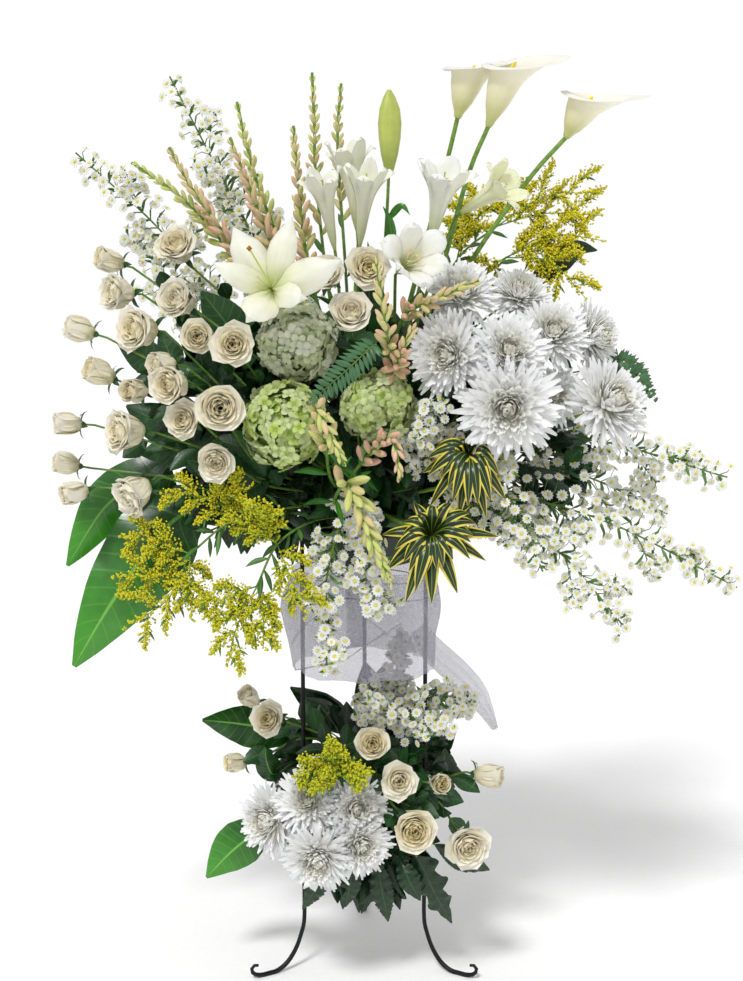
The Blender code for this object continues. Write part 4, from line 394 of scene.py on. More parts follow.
def leaf_finish(name, dark, light, vein, rough=0.38, laterals=9.0, slant=2.2, rib=0.035, vein_share=0.5,
                margin=None, margin_at=0.62, depth=0.0006):
    """A leaf: two greens mixed by a slow noise and the tone, a midrib and slanting side veins from the UV
    place, and for a striped leaf a paler margin. The veins also lie in the bump, depth metres high."""
    material, tree, shader = new_finish(name, {
        "Roughness": rough, "IOR": 1.45, "Coat Weight": 0.15, "Coat Roughness": 0.25,
    })
    uv = add(tree, "ShaderNodeUVMap", {"uv_map": "UVMap"})
    split = add(tree, "ShaderNodeSeparateXYZ", (), {0: uv.outputs[0]})
    tone = add(tree, "ShaderNodeAttribute", {"attribute_name": "tone"})
    place = add(tree, "ShaderNodeTexCoord")
    cloud = add(tree, "ShaderNodeTexNoise", {"Scale": 38.0, "Detail": 4.0}, {"Vector": place.outputs["Object"]})
    blend = add(tree, "ShaderNodeMath", {"operation": "MULTIPLY_ADD", 1: 0.7}, {0: cloud.outputs["Fac"],
                                                                               2: tone.outputs["Fac"]})
    ground = add(tree, "ShaderNodeMapRange", {1: 0.25, 2: 1.2}, {0: blend.outputs[0]})
    green = add(tree, "ShaderNodeMix", {"data_type": "RGBA", 6: linear(dark), 7: linear(light)},
                {0: ground.outputs[0]})
    centre = add(tree, "ShaderNodeMath", {"operation": "SUBTRACT", 1: 0.5}, {0: split.outputs[0]})
    off = add(tree, "ShaderNodeMath", {"operation": "ABSOLUTE"}, {0: centre.outputs[0]})
    midrib = add(tree, "ShaderNodeMapRange", {1: rib, 2: 0.3 * rib, 3: 0.0, 4: 1.0}, {0: off.outputs[0]})
    slope = add(tree, "ShaderNodeMath", {"operation": "MULTIPLY", 1: -slant}, {0: off.outputs[0]})
    row = add(tree, "ShaderNodeMath", {"operation": "MULTIPLY_ADD", 1: laterals}, {0: split.outputs[1],
                                                                                  2: slope.outputs[0]})
    wave = add(tree, "ShaderNodeMath", {"operation": "PINGPONG", 1: 0.5}, {0: row.outputs[0]})
    side = add(tree, "ShaderNodeMapRange", {1: 0.09, 2: 0.02, 3: 0.0, 4: vein_share}, {0: wave.outputs[0]})
    lines = add(tree, "ShaderNodeMath", {"operation": "MAXIMUM"}, {0: midrib.outputs[0], 1: side.outputs[0]})
    veined = add(tree, "ShaderNodeMix", {"data_type": "RGBA", 7: linear(vein)},
                 {0: lines.outputs[0], 6: green.outputs[2]})
    out = veined.outputs[2]
    if margin:
        edge = add(tree, "ShaderNodeMapRange", {1: 0.5 * margin_at, 2: 0.5 * margin_at + 0.03}, {0: off.outputs[0]})
        striped = add(tree, "ShaderNodeMix", {"data_type": "RGBA", 7: linear(margin)}, {0: edge.outputs[0], 6: out})
        out = striped.outputs[2]
    grain = add(tree, "ShaderNodeTexNoise", {"Scale": 420.0, "Detail": 2.0}, {"Vector": place.outputs["Object"]})
    height = add(tree, "ShaderNodeMath", {"operation": "MULTIPLY_ADD", 1: 0.25}, {0: grain.outputs["Fac"],
                                                                                 2: lines.outputs[0]})
    bump = add(tree, "ShaderNodeBump", {"Strength": 0.5, "Distance": depth}, {"Height": height.outputs[0]})
    tree.links.new(out, shader.inputs["Base Color"])
    tree.links.new(bump.outputs[0], shader.inputs["Normal"])
    return material


def grained_finish(name, low, high, scale, rough=0.6, metallic=0.0, detail=4.0, depth=0.0004, sockets=(),
                   tinted=None):
    """A finish whose colour, height and a little of its roughness follow one noise of the given scale."""
    material, tree, shader = new_finish(name, {"Metallic": metallic, **dict(sockets)})
    place = add(tree, "ShaderNodeTexCoord")
    cloud = add(tree, "ShaderNodeTexNoise", {"Scale": scale, "Detail": detail}, {"Vector": place.outputs["Object"]})
    colour = add(tree, "ShaderNodeValToRGB", {"stops": ((0.32, low), (0.68, high))}, {0: cloud.outputs["Fac"]})
    out = colour.outputs[0]
    if tinted:
        tone = add(tree, "ShaderNodeAttribute", {"attribute_name": "tone"})
        tint = add(tree, "ShaderNodeMix", {"data_type": "RGBA", 7: linear(tinted)}, {0: tone.outputs["Fac"], 6: out})
        out = tint.outputs[2]
    worn = add(tree, "ShaderNodeMapRange", {3: rough - 0.08, 4: rough + 0.10}, {0: cloud.outputs["Fac"]})
    bump = add(tree, "ShaderNodeBump", {"Strength": 0.6, "Distance": depth}, {"Height": cloud.outputs["Fac"]})
    tree.links.new(out, shader.inputs["Base Color"])
    tree.links.new(worn.outputs[0], shader.inputs["Roughness"])
    tree.links.new(bump.outputs[0], shader.inputs["Normal"])
    return material


# Rose petals are soft and matt, greenish at the root and warm cream within: partly the rose's own deeper heart, partly
# painted warm light in the shaded core.
rose_petal = petal_finish("rose_petal", "#D3D695", "#F8F1D4", "#FAF6E6", "#F5E4A0", speckle=0.05)
# Lily petals are thick and waxy, pale green along the rib near the throat.
lily_petal = petal_finish("lily_petal", "#C3D684", "#F0F0DC", "#F3F4EF", "#E4E7A8", rough=0.38, veins=22.0)
# Chrysanthemum florets are clean white; the green-grey at each floret's root, where they crowd together, is painted
# shade.
mum_petal = petal_finish("chrysanthemum_petal", "#E8EBCB", "#FBFBF8", "#FCFDFD", "#F6F4DC", veins=14.0, speckle=0.04)
# A calla's spathe is smooth and waxy, green at its neck.
calla_spathe = petal_finish("calla_spathe", "#B4C060", "#EDE6BE", "#F0EFE8", "#EEE4B0", rough=0.33, veins=30.0,
                            vein_depth=0.0001, speckle=0.05)
# Hydrangea sepals open green and pale as they age.
hydrangea_sepal = petal_finish("hydrangea_sepal", "#86AA2C", "#BAD458", "#D2E688", "#EEF2D6", rough=0.6,
                               veins=12.0, speckle=0.16)
# Tuberose buds are waxy, flushed pink where they swell and green at the tip.
tuberose_bud = petal_finish("tuberose_bud", "#9DB45A", "#DDBBA2", "#DCA394", "#C4D078", rough=0.45, veins=10.0)
# Small daisies: white rays.
daisy_ray = petal_finish("daisy_ray", "#DDE0BC", "#EEF0E8", "#F0F1EE", "#E6E8D4", veins=6.0, sheen=0.0)
# Their eyes are packed yellow florets.
daisy_eye = grained_finish("daisy_eye", "#C9B222", "#EFE040", 900.0, 0.8, tinted="#D9D250")
# Goldenrod florets are powdery yellow.
goldenrod_floret = grained_finish("goldenrod_floret", "#CFC010", "#F2E42A", 500.0, 0.85, tinted="#9DB32A")
# Anthers carry rust-brown pollen.
pollen = grained_finish("anther_pollen", "#7A4A12", "#B97822", 1200.0, 0.9)
# A calla's spadix is dense golden pollen.
spadix_pollen = grained_finish("spadix_pollen", "#E6CC2E", "#F8EA58", 700.0, 0.85, depth=0.001)
# Cut stems are smooth and fibrous; the tone turns them from green to brown-green.
stem_skin = grained_finish("stem_skin", "#4F7A26", "#7FA53C", 120.0, 0.5, tinted="#3F5A1E")
# The closed lily bud shows its ribs, lime with an olive seam.
bud_skin = petal_finish("lily_bud_skin", "#8FA53A", "#B7C55C", "#A9B54A", "#C8CF7C", rough=0.42, veins=18.0,
                        vein_depth=0.0005, speckle=0.2)
# Broad leaves with a soft shine and pale veins.
broad_leaf = leaf_finish("broad_leaf", "#0F3A12", "#3E8A26", "#6FAE45", rough=0.26, laterals=11.0, vein_share=0.22,
                         depth=0.0009)
# The daisies' and the goldenrod's thin leaves are light green.
thin_leaf = leaf_finish("thin_leaf", "#2C5426", "#4F7F38", "#86AA60", rough=0.5, laterals=0.0, vein_share=0.0)
# The anthers within the trumpets are pale.
pale_pollen = grained_finish("pale_anther", "#D9A36C", "#EFC796", 1200.0, 0.9)
# Dark glossy foliage.
dark_leaf = leaf_finish("dark_glossy_leaf", "#06160A", "#113314", "#2C5228", rough=0.28)
# Rose leaves are duller, with close side veins.
rose_leaf = leaf_finish("rose_leaf", "#0F2E12", "#1F4F20", "#3F6E35", rough=0.45, laterals=8.0)
# Strap leaves with a dark middle, a light central line and golden margins.
striped_leaf = leaf_finish("striped_strap_leaf", "#0D200C", "#1B3714", "#8E9A3C", laterals=0.0, vein_share=0.0,
                           margin="#D3C44A", margin_at=0.64, rough=0.3, rib=0.035)
# Fern fronds carry a bluish bloom.
fern_leaf = leaf_finish("fern_leaf", "#244A28", "#3E6B40", "#628A62", laterals=5.0, rough=0.6)
# Forged iron bar under satin black paint, with hammer marks about 15 mm apart.
painted_iron = grained_finish("black_painted_iron", "#060607", "#0E0E0F", 140.0, 0.46, depth=0.0012,
                              sockets={"Specular IOR Level": 0.3})
# Moulded polypropylene with a faint orange peel.
moulded_bowl = grained_finish("moulded_bowl_plastic", "#14230F", "#1B2E14", 300.0, 0.4, depth=0.0002)
# Wet floral foam: fine open cells, drawn 1 mm wide so that they show.
wet_foam = grained_finish("wet_floral_foam", "#0E2B14", "#1D4A22", 900.0, 0.85, depth=0.001)
# Sheer net: fine threads drawn as a 3 mm mesh that shows, mostly clear between them.
def net_finish():
    """Tulle: pale threads crossing every 3 mm in the bump and colour over a see-through ground."""
    material, tree, shader = new_finish("sheer_net", {"Roughness": 0.7, "Alpha": 0.36, "Sheen Weight": 0.4,
                                                      "Sheen Roughness": 0.5})
    place = add(tree, "ShaderNodeTexCoord")
    cell = add(tree, "ShaderNodeTexVoronoi", {"Scale": 340.0, "feature": "DISTANCE_TO_EDGE"},
               {"Vector": place.outputs["Object"]})
    thread = add(tree, "ShaderNodeMapRange", {1: 0.0, 2: 0.12, 3: 1.0, 4: 0.0}, {0: cell.outputs[0]})
    # The ground colour is the net's own grey-lavender, made darker as painted shade from the shadow behind the sleeve.
    colour = add(tree, "ShaderNodeMix", {"data_type": "RGBA", 6: linear("#9C9AA8"), 7: linear("#D3D2DE")},
                 {0: thread.outputs[0]})
    bump = add(tree, "ShaderNodeBump", {"Strength": 0.4, "Distance": 0.0004}, {"Height": thread.outputs[0]})
    tree.links.new(colour.outputs[2], shader.inputs["Base Color"])
    tree.links.new(bump.outputs[0], shader.inputs["Normal"])
    return material


sheer_net = net_finish()


# Heads of flowers, of unit size round z, and single leaves.

ROSE_OUTLINE = (0.26, 0.58, 0.82, 0.96, 1.0, 0.99, 0.88, 0.46)
STRAP_OUTLINE = (0.55, 0.80, 0.92, 1.0, 1.0, 0.94, 0.76, 0.34)
SEPAL_OUTLINE = (0.40, 0.85, 1.0, 0.92, 0.55, 0.10)


def rose_head(opening, seed, count=24):
    """A rose 1 across: petals on a spiral of the golden angle, tight and upright within, leaning out and
    rolled at the lip outside. The opening, 0 to 1, sets how far the outer ones fall."""
    draw = np.random.default_rng(seed)
    shapes = []
    for k in range(count):
        t = k / (count - 1)
        out = t**0.85
        lean = out * opening
        lift = (1.32 - 1.10 * out, 1.62 - 0.22 * lean, 1.66 - 0.45 * out - 1.40 * lean * out)
        one = petal(9, 7, 0.61 + 0.10 * out, 0.40 + 0.34 * out, ROSE_OUTLINE,
                    lift, (1.9 - 0.80 * out, 1.8 - 1.05 * out), 0.030 + 0.025 * out, 0.9 + draw.uniform(0, 0.5),
                    draw.uniform(0, math.tau), 0.012)
        angle = k * 2.3998 + draw.uniform(-0.15, 0.15)
        spot = (0.025 + 0.035 * t) * np.array([math.cos(angle), math.sin(angle), 0.0])
        c, s = math.cos(angle), math.sin(angle)
        turn = np.array([[c, s, 0.0], [-s, c, 0.0], [0.0, 0.0, 1.0]])
        shapes.append(moved(one, turn, 1.0, spot + [0, 0, -0.30 + 0.02 * (1 - t)]))
    return joined(shapes)


def rose_cup():
    """The green of a rose 1 across: five sepals curling down under the head, and the hip."""
    sepal = petal(6, 4, 0.42, 0.15, SEPAL_OUTLINE, (-0.3, -0.1, -1.1), (0.6, 0.3), thick=0.02)
    hip = turned([(0.035, -0.46), (0.075, -0.42), (0.10, -0.36), (0.09, -0.30), (0.03, -0.27)], 9)
    return joined([around(sepal, 5, 0.2, 0.04, -0.30), hip])


def mum_head(seed, count=150):
    """A chrysanthemum 1 across: narrow cupped florets on a golden-angle spiral, short and curled inwards at
    the middle, long and spread at the rim, each with an upturned tip."""
    draw = np.random.default_rng(seed)
    shapes = []
    grades = 6
    for grade in range(grades):
        t = (grade + 0.5) / grades
        length = 0.17 + 0.31 * t
        lift = (1.42 - 1.68 * t, 1.60 - 1.64 * t, 2.15 - 2.00 * t)
        one = petal(5, 3, length, 0.084, STRAP_OUTLINE, lift, (1.0, 0.8), thick=0.025)
        k = np.arange(int(count * (grade / grades)), int(count * ((grade + 1) / grades)))
        share = k / count
        angle = k * GOLDEN_ANGLE + draw.uniform(-0.12, 0.12, len(k))
        tilt = draw.uniform(-0.24, 0.24, len(k))
        c, s, o = np.cos(angle), np.sin(angle), np.zeros(len(k))
        ct, st = np.cos(tilt), np.sin(tilt)
        bases = np.stack([np.stack([c * ct, s * ct, st], 1), np.stack([-s, c, o], 1),
                          np.stack([-c * st, -s * st, ct], 1)], axis=1)
        radius = 0.03 + 0.10 * np.sqrt(share)
        places = np.stack([radius * c, radius * s, 0.10 - 0.16 * share], 1)
        sizes = draw.uniform(0.86, 1.12, (len(k), 1))
        shapes.append(spread(one, places, bases, sizes))
    base = turned([(0.02, -0.16), (0.11, -0.12), (0.15, -0.04), (0.10, 0.06), (0.02, 0.09)], 9)
    return joined(shapes + [base])


def floret_head():
    """A hydrangea floret 1 across: four broad sepals, a little cupped, and a bead in the middle."""
    sepal = petal(4, 4, 0.50, 0.46, (0.35, 0.85, 1.0, 0.45), (0.45, 0.25, -0.35), (0.45, 0.30), thick=0.03)
    bead = turned([(0.03, -0.02), (0.055, 0.03), (0.03, 0.07)], 5)
    return joined([around(sepal, 4, 0.4, 0.02), bead])


def daisy_head(rays=13):
    """A daisy's rays, 1 across: kites round a domed eye, each a flat lozenge of eight faces."""
    kite = np.array([[0.06, 0, 0], [0.34, -0.115, 0.02], [0.50, 0, -0.01], [0.34, 0.115, 0.02], [0.3, 0, 0.045],
                     [0.3, 0, -0.01]])
    faces = [(0, 1, 4), (1, 2, 4), (2, 3, 4), (3, 0, 4), (1, 0, 5), (2, 1, 5), (3, 2, 5), (0, 3, 5)]
    uv = [(0.5, 0), (0, 0.6), (0.5, 1), (1, 0.6), (0.5, 0.5), (0.5, 0.5)]
    return around(shape(kite, None, faces, uv), rays)


def daisy_disc():
    """The eye of a daisy 1 across: a low dome."""
    return turned([(0.10, -0.05), (0.145, 0.02), (0.12, 0.075), (0.05, 0.105)], 5)


def bud_shape(sides=7):
    """A bud of unit length along z: slim at its foot, swollen above the middle, with a blunt tip."""
    profile = [(0.05, 0.0), (0.10, 0.10), (0.135, 0.30), (0.155, 0.52), (0.145, 0.72), (0.095, 0.88), (0.03, 0.98)]
    return turned(profile, sides)


def tepal_trumpet(seed):
    """A trumpet flower of unit length along z and unit width. Six tepals share one round tube, whose radius
    and height run along a curve; over the last third each narrows to its tip, leans out and rolls its rim
    back, the three inner ones more upright than the outer ones."""
    draw = np.random.default_rng(seed)
    s = np.linspace(0, 1, 20)[:, None]
    w = np.linspace(-1, 1, 9)[None, :]
    free = np.clip((s - 0.60) / 0.40, 0, 1)
    shapes = []
    for k in range(6):
        inner = k % 2
        far, top = (0.44, 0.98) if inner else (0.50, 0.90)
        far += draw.uniform(-0.03, 0.03)
        run = smooth_path([(0.03, 0, -0.01), (0.085, 0, 0.16), (0.13, 0, 0.40), (0.205, 0, 0.62), (0.33, 0, 0.80),
                           (far - 0.05, 0, top - 0.01), (far, 0, top - 0.02 + 0.03 * inner)], 20)
        half = np.interp(s, [0, 0.58, 0.70, 0.82, 0.93, 1.0], [0.60, 0.62, 0.64, 0.56, 0.34, 0.03])
        turn = k * math.tau / 6 + draw.uniform(-0.05, 0.05) + w * half
        radius = run[:, :1] * (1.0 - 0.06 * inner) - 0.014 * free * np.exp(-((w / 0.2) ** 2))
        radius = radius + free * (0.05 * np.abs(w) ** 2.5 + 0.012 * w * np.sin(9 * s + draw.uniform(0, 6)))
        height = run[:, 2:] - 0.03 * free * w**2
        shapes.append(thin_sheet(np.stack([radius * np.cos(turn), radius * np.sin(turn), height + 0 * w], -1), 0.010))
    return joined(shapes)


def leaf(spine, width, outline, face, rows=15, columns=7, fold=0.25, wave=0.0, waves=5.0, phase=0.0, curl=0.0,
         thick=0.0007, teeth=0.0):
    """A leaf along a path, seen from face: half width from the outline table, edges bent back by fold
    (and curl along its length) and waved along the rim by a sine; teeth cut the rim like a saw."""
    path = smooth_path(spine, rows)
    along = unit(np.gradient(path, axis=0))
    across = unit(np.cross(along, unit(face)))
    normal = np.cross(across, along)
    s = np.linspace(0, 1, rows)
    w = np.linspace(-1, 1, columns)
    half = 0.5 * width * outline_at(outline, s) * (1.0 - teeth * np.mod(16 * s, 1.0))
    bend = -(fold + curl * s)[:, None] * np.abs(w) ** 1.4
    ripple = wave * np.abs(w) ** 2 * np.sin(waves * math.tau * s[:, None] + phase + 1.1 * np.sign(w))
    lift = half[:, None] * (bend + ripple)
    grid = path[:, None] + across[:, None] * (half[:, None] * w)[..., None] + normal[:, None] * lift[..., None]
    return thin_sheet(grid, thick)


# Where each bunch leaves the foam: tier, face, and place on that face.

FACES = {
    "top": ((0.0, 0.0, 1.0), (1.0, 0.0, 0.0), (0.0, 1.0, 0.0)),
    "front": ((0.0, -1.0, 0.0), (1.0, 0.0, 0.0), (0.0, 0.0, 1.0)),
    "back": ((0.0, 1.0, 0.0), (1.0, 0.0, 0.0), (0.0, 0.0, 1.0)),
    "left": ((-1.0, 0.0, 0.0), (0.0, 1.0, 0.0), (0.0, 0.0, 1.0)),
    "right": ((1.0, 0.0, 0.0), (0.0, 1.0, 0.0), (0.0, 0.0, 1.0)),
}
TIERS = {"upper": (0.064, 0.865), "lower": (0.060, 0.360)}
PEG_OUT = 0.012
STEM = 0.0022


def root_of(tier, face, u, v):
    """The place where a bundle of stems leaves the foam, and the way out of that face."""
    half, top = TIERS[tier]
    normal, first, second = (np.array(d) for d in FACES[face])
    return normal * (top if face == "top" else half) + u * first + v * second + normal * PEG_OUT, normal


def stem_path(where, points, number=0, count=16):
    """A stem's path: out of the foam beside its neighbours in the bundle, then through the points."""
    root, normal = root_of(*where)
    side, other, _ = basis_for(normal, 0.6)
    beside = 0.0028 * (math.cos(2.4 * number) * side + math.sin(2.4 * number) * other)
    return smooth_path([root - 0.030 * normal + beside, root + beside, *points], count)


def add_stem(heap, where, points, number=0, radius=STEM, count=16, tone=0.3, sides=6):
    """Add a round stem to the heap and give back its path."""
    path = stem_path(where, points, number, count)
    heap.add(swept(path, radius * np.linspace(1.0, 0.8, count), sides), stem_skin, tone)
    return path


def stem_leaves(heap, path, count, length, width, draw, finish, first=0.35, last=0.9, face=(0.0, -1.0, 0.3),
                fold=0.3):
    """Leaves along a stem, turning round it by the golden angle, each on the path and reaching out of it."""
    along, side, other = path_sides(path)
    for k in range(count):
        at = (first + (last - first) * (k + draw.uniform(0.2, 0.8)) / count) * (len(path) - 1)
        i = int(at)
        angle = 2.4 * k + draw.uniform(0, 1.2)
        out = math.cos(angle) * side[i] + math.sin(angle) * other[i]
        reach = length * draw.uniform(0.75, 1.15)
        tip = path[i] + reach * (0.75 * out + 0.6 * along[i] + np.array([0, 0, -0.12]))
        middle = path[i] + 0.5 * reach * (0.85 * out + 0.65 * along[i])
        heap.add(leaf([path[i], middle, tip], width * draw.uniform(0.8, 1.15), OVAL_LEAF, face, 7, 5, fold, 0.06, 3.0,
                      draw.uniform(0, 6)), finish, draw.uniform(0.0, 0.8))


OVAL_LEAF = (0.10, 0.52, 0.84, 1.0, 0.96, 0.76, 0.44, 0.06)
HEART_LEAF = (0.42, 0.86, 1.0, 0.97, 0.88, 0.74, 0.56, 0.34, 0.06)
LANCE_LEAF = (0.12, 0.60, 0.92, 1.0, 0.90, 0.66, 0.34, 0.05)
LOBED_LEAF = (0.10, 0.62, 0.95, 0.50, 0.70, 1.0, 0.45, 0.55, 0.72, 0.34, 0.30, 0.16, 0.03)
FRONT = (0.0, -1.0, 0.15)
LEFT_FRONT = (-0.7, -0.75, 0.1)


# Flowers. Each function adds one flower with its stem to a heap; places are measured from the stand's axis.

OPEN_ROSES = [rose_head(opening, seed, 26) for opening, seed in ((0.62, 1), (0.95, 2), (0.78, 3))]
HALF_ROSES = [rose_head(0.22, seed, 18) for seed in (4, 5)]
ROSE_CUP = rose_cup()
MUMS = [mum_head(seed, 330) for seed in (6, 7)]
FLORET = floret_head()
DAISY_RAYS = daisy_head(11)
DAISY_DISC = daisy_disc()
BUD = bud_shape()
TRUMPETS = [tepal_trumpet(seed) for seed in (8, 9, 10)]
BEAD = shape([[0.5, 0, 0], [0, 0.5, 0], [-0.5, 0, 0], [0, -0.5, 0], [0, 0, 0.5], [0, 0, -0.5]], None,
             [(0, 1, 4), (1, 2, 4), (2, 3, 4), (3, 0, 4), (1, 0, 5), (2, 1, 5), (3, 2, 5), (0, 3, 5)])


def warm_within(one, strength, width=0.2):
    """A tone that is strongest on a head's axis and fades outwards as a bell curve."""
    away = np.hypot(one["points"][:, 0], one["points"][:, 1])
    return strength * np.exp(-((away / width) ** 2))


def rose(heap, where, number, row, draw):
    """A rose on its stem, with its cup, leaves up the stem, and a compound leaf where the row asks for it."""
    via, centre, size, facing, is_open, sprig = row
    centre, axis = np.array(centre), unit(facing)
    foot = centre - 0.42 * size * axis
    path = add_stem(heap, where, [*via, foot - 0.016 * axis, foot], number)
    one = (OPEN_ROSES if is_open else HALF_ROSES)[number % (3 if is_open else 2)]
    scale = np.array([1.30, 1.30, 1.22]) if is_open else np.array([1.16, 1.16, 1.28])
    basis = basis_for(axis, draw.uniform(0, math.tau))
    strength = draw.uniform(0.35, 0.95)
    # The tone warms each head towards its middle: partly the rose's own cream heart, partly painted light glowing
    # through the petals into the shaded core.
    heap.add(moved(one, basis, size * scale, centre), rose_petal, warm_within(one, strength, 0.26))
    heap.add(moved(ROSE_CUP, basis, size, centre), rose_leaf, 0.5)
    stem_leaves(heap, path, 3, 0.050, 0.030, draw, rose_leaf, 0.45, 0.85)
    if sprig:
        share, tip = sprig
        start = path[int(share * (len(path) - 1))]
        way = np.array(tip) - start
        side = unit(np.cross(way, (0.0, -1.0, 0.2)))
        heap.add(swept([start, start + 0.45 * way], 0.0012, 5), stem_skin, 0.3)
        for turn, first, reach in ((0.0, 0.40, 0.60), (0.8, 0.35, 0.36), (-0.8, 0.35, 0.36)):
            base = start + first * way
            end = base + reach * (way + turn * np.linalg.norm(way) * side)
            heap.add(leaf([base, 0.5 * (base + end) + [0, -0.004, 0.003], end], 0.55 * np.linalg.norm(end - base),
                          OVAL_LEAF, (-0.2, -1.0, 0.4), 9, 5, 0.3, 0.05, 5.0), rose_leaf, draw.uniform(0.2, 0.9))


def roses(name, where, rows, seed):
    """A bunch of roses as one piece."""
    draw = np.random.default_rng(seed)
    heap = Heap()
    for number, row in enumerate(rows):
        rose(heap, where, number, row, draw)
    heap.piece(name + "_flowers", (name,))


def mums(name, where, rows, seed):
    """A bunch of chrysanthemums as one piece."""
    draw = np.random.default_rng(seed)
    heap = Heap()
    for number, (via, centre, size, facing) in enumerate(rows):
        centre, axis = np.array(centre), unit(facing)
        path = add_stem(heap, where, [*via, centre - 0.32 * size * axis, centre - 0.14 * size * axis], number, 0.0026)
        one = MUMS[number % 2]
        basis = basis_for(axis, draw.uniform(0, math.tau))
        width = 1.07 * size * draw.uniform(0.98, 1.04)
        heap.add(moved(one, basis, width, centre), mum_petal, warm_within(one, 0.7, 0.20))
        stem_leaves(heap, path, 3, 0.055, 0.026, draw, dark_leaf, 0.5, 0.85)
    heap.piece(name + "_flowers", (name,))


def mophead(name, where, via, centre, size, pale, seed):
    """A hydrangea head: florets facing out of a ball, spread by the Fibonacci spiral with some jitter, over
    a green core."""
    draw = np.random.default_rng(seed)
    heap = Heap()
    centre = np.array(centre)
    add_stem(heap, where, [*via, centre], 0, 0.0032)
    count = 205
    k = np.arange(count)
    z = 1 - 2 * (k + 0.5) / count
    r = np.sqrt(1 - z * z)
    out = np.stack([r * np.cos(GOLDEN_ANGLE * k), r * np.sin(GOLDEN_ANGLE * k), z], 1)
    places = centre + out * (size / 2 * draw.uniform(0.76, 1.02, (count, 1)))
    axes = unit(out + 0.30 * draw.normal(size=(count, 3)))
    scale = 0.0245 * draw.uniform(0.8, 1.2, (count, 1))
    tones = np.clip(pale + draw.uniform(-0.25, 0.25, count), 0, 1)
    heap.add(spread(FLORET, places, bases_for(axes, draw.uniform(0, math.tau, count)), scale), hydrangea_sepal,
             np.repeat(tones, len(FLORET["points"])))
    rim = np.linspace(-1.5, 1.5, 11)
    core = turned(np.stack([np.cos(rim), np.sin(rim)], 1) * 0.39 * size, 16)
    heap.add(moved(core, None, 1.0, centre), stem_skin, 0.4)
    heap.piece(name + "_florets", (name,))


def spikes(name, where, rows, tips, seed):
    """Tuberose spikes: buds in a spiral up the stem, smaller and greener to the tip, every third under a bract."""
    draw = np.random.default_rng(seed)
    heap = Heap()
    for number, ((points, buds, first, widest), green) in enumerate(zip(rows, tips)):
        path = add_stem(heap, where, points, number, 0.0028, 40, 0.3)
        along, side, other = path_sides(path)
        count = int(3.4 * buds)
        share = np.arange(count) / (count - 1)
        at = ((first + (0.985 - first) * share**0.80) * (len(path) - 1)).astype(int)
        angle = 2.35 * np.arange(count) + draw.uniform(-0.3, 0.3, count)
        out = np.cos(angle)[:, None] * side[at] + np.sin(angle)[:, None] * other[at]
        lean = (0.85 - 0.55 * share)[:, None]
        axes = unit(along[at] + lean * out)
        scale = widest * (1.05 - 0.62 * share)[:, None]
        sizes = np.concatenate([2.7 * scale, 2.7 * scale, 2.5 * scale], 1) * draw.uniform(0.9, 1.1, (count, 1))
        tones = np.clip(green + 0.3 * share + draw.uniform(-0.28, 0.28, count), 0, 1)
        heap.add(spread(BUD, path[at] + 0.001 * out, bases_for(axes, angle), sizes), tuberose_bud,
                 np.repeat(tones, len(BUD["points"])))
        for j in range(0, count, 3):
            base = path[at[j]]
            tip = base + 1.5 * scale[j, 0] * (along[at[j]] + 0.9 * out[j])
            heap.add(leaf([base, tip], 0.5 * scale[j, 0], LANCE_LEAF, out[j], 4, 3), broad_leaf, 0.4)
        stem_leaves(heap, path, 4, 0.07, 0.010, draw, broad_leaf, 0.25, first)
    heap.piece(name + "_buds", (name,))


def daisy_sprays(name, where, rows, seed):
    """Sprays of small daisies: each stem bears side branches, and wiry twigs that turn round stem and
    branches by about the golden angle end in one flower each."""
    draw = np.random.default_rng(seed)
    heap = Heap()
    places, axes = [], []
    for number, (points, count, reach, first) in enumerate(rows):
        path = add_stem(heap, where, points, number, 0.0018, 40, 0.4, 5)
        along, side, other = path_sides(path)
        boughs = [(path, 7 * count, reach, first)]
        for k in range(6):
            i = int((first + (0.90 - first) * k / 6) * 39)
            angle = 2.4 * k + 0.9 + draw.uniform(-0.4, 0.4)
            out = math.cos(angle) * side[i] + math.sin(angle) * other[i]
            end = path[i] + 1.45 * reach * (0.72 * out + 0.85 * along[i])
            bough = smooth_path([path[i], path[i] + 0.7 * reach * (0.45 * out + 0.65 * along[i]), end], 20)
            heap.add(swept(bough, np.linspace(0.0012, 0.0007, 20), 5), stem_skin, 0.4)
            boughs.append((bough, int(1.1 * count), 0.50 * reach, 0.35))
        for bough, total, reach, first in boughs:
            along, side, other = path_sides(bough)
            for k in range(total):
                i = int((first + (0.995 - first) * (k + 1) / total) * (len(bough) - 1))
                angle = 2.4 * k + draw.uniform(-0.5, 0.5)
                out = math.cos(angle) * side[i] + math.sin(angle) * other[i]
                away = reach * draw.uniform(0.3, 1.2) * (1.12 - 0.70 * k / total)
                end = bough[i] + away * (out + 0.45 * along[i])
                middle = bough[i] + away * (0.45 * out + 0.42 * along[i])
                heap.add(swept([bough[i], middle, end], [0.0009, 0.0007, 0.0005], 4), stem_skin, 0.5)
                places.append(end)
                axes.append(unit(0.7 * out + np.array([0.0, -0.8, 0.35]) + 0.25 * draw.normal(size=3)))
                if k % 2 == 0:
                    heap.add(leaf([bough[i], middle + 0.003 * out, middle + 0.015 * out], 0.0055, LANCE_LEAF, axes[-1],
                                  4, 3), thin_leaf, draw.uniform(0, 0.8))
    places, axes = np.array(places), np.array(axes)
    bases = bases_for(axes, draw.uniform(0, math.tau, len(places)))
    sizes = 0.0180 * draw.uniform(0.75, 1.15, (len(places), 1))
    heap.add(spread(DAISY_RAYS, places, bases, sizes), daisy_ray, 0.2)
    heap.add(spread(DAISY_DISC, places, bases, sizes), daisy_eye,
             np.repeat(draw.uniform(0, 1, len(places)), len(DAISY_DISC["points"])))
    heap.piece(name + "_flowers", (name,))


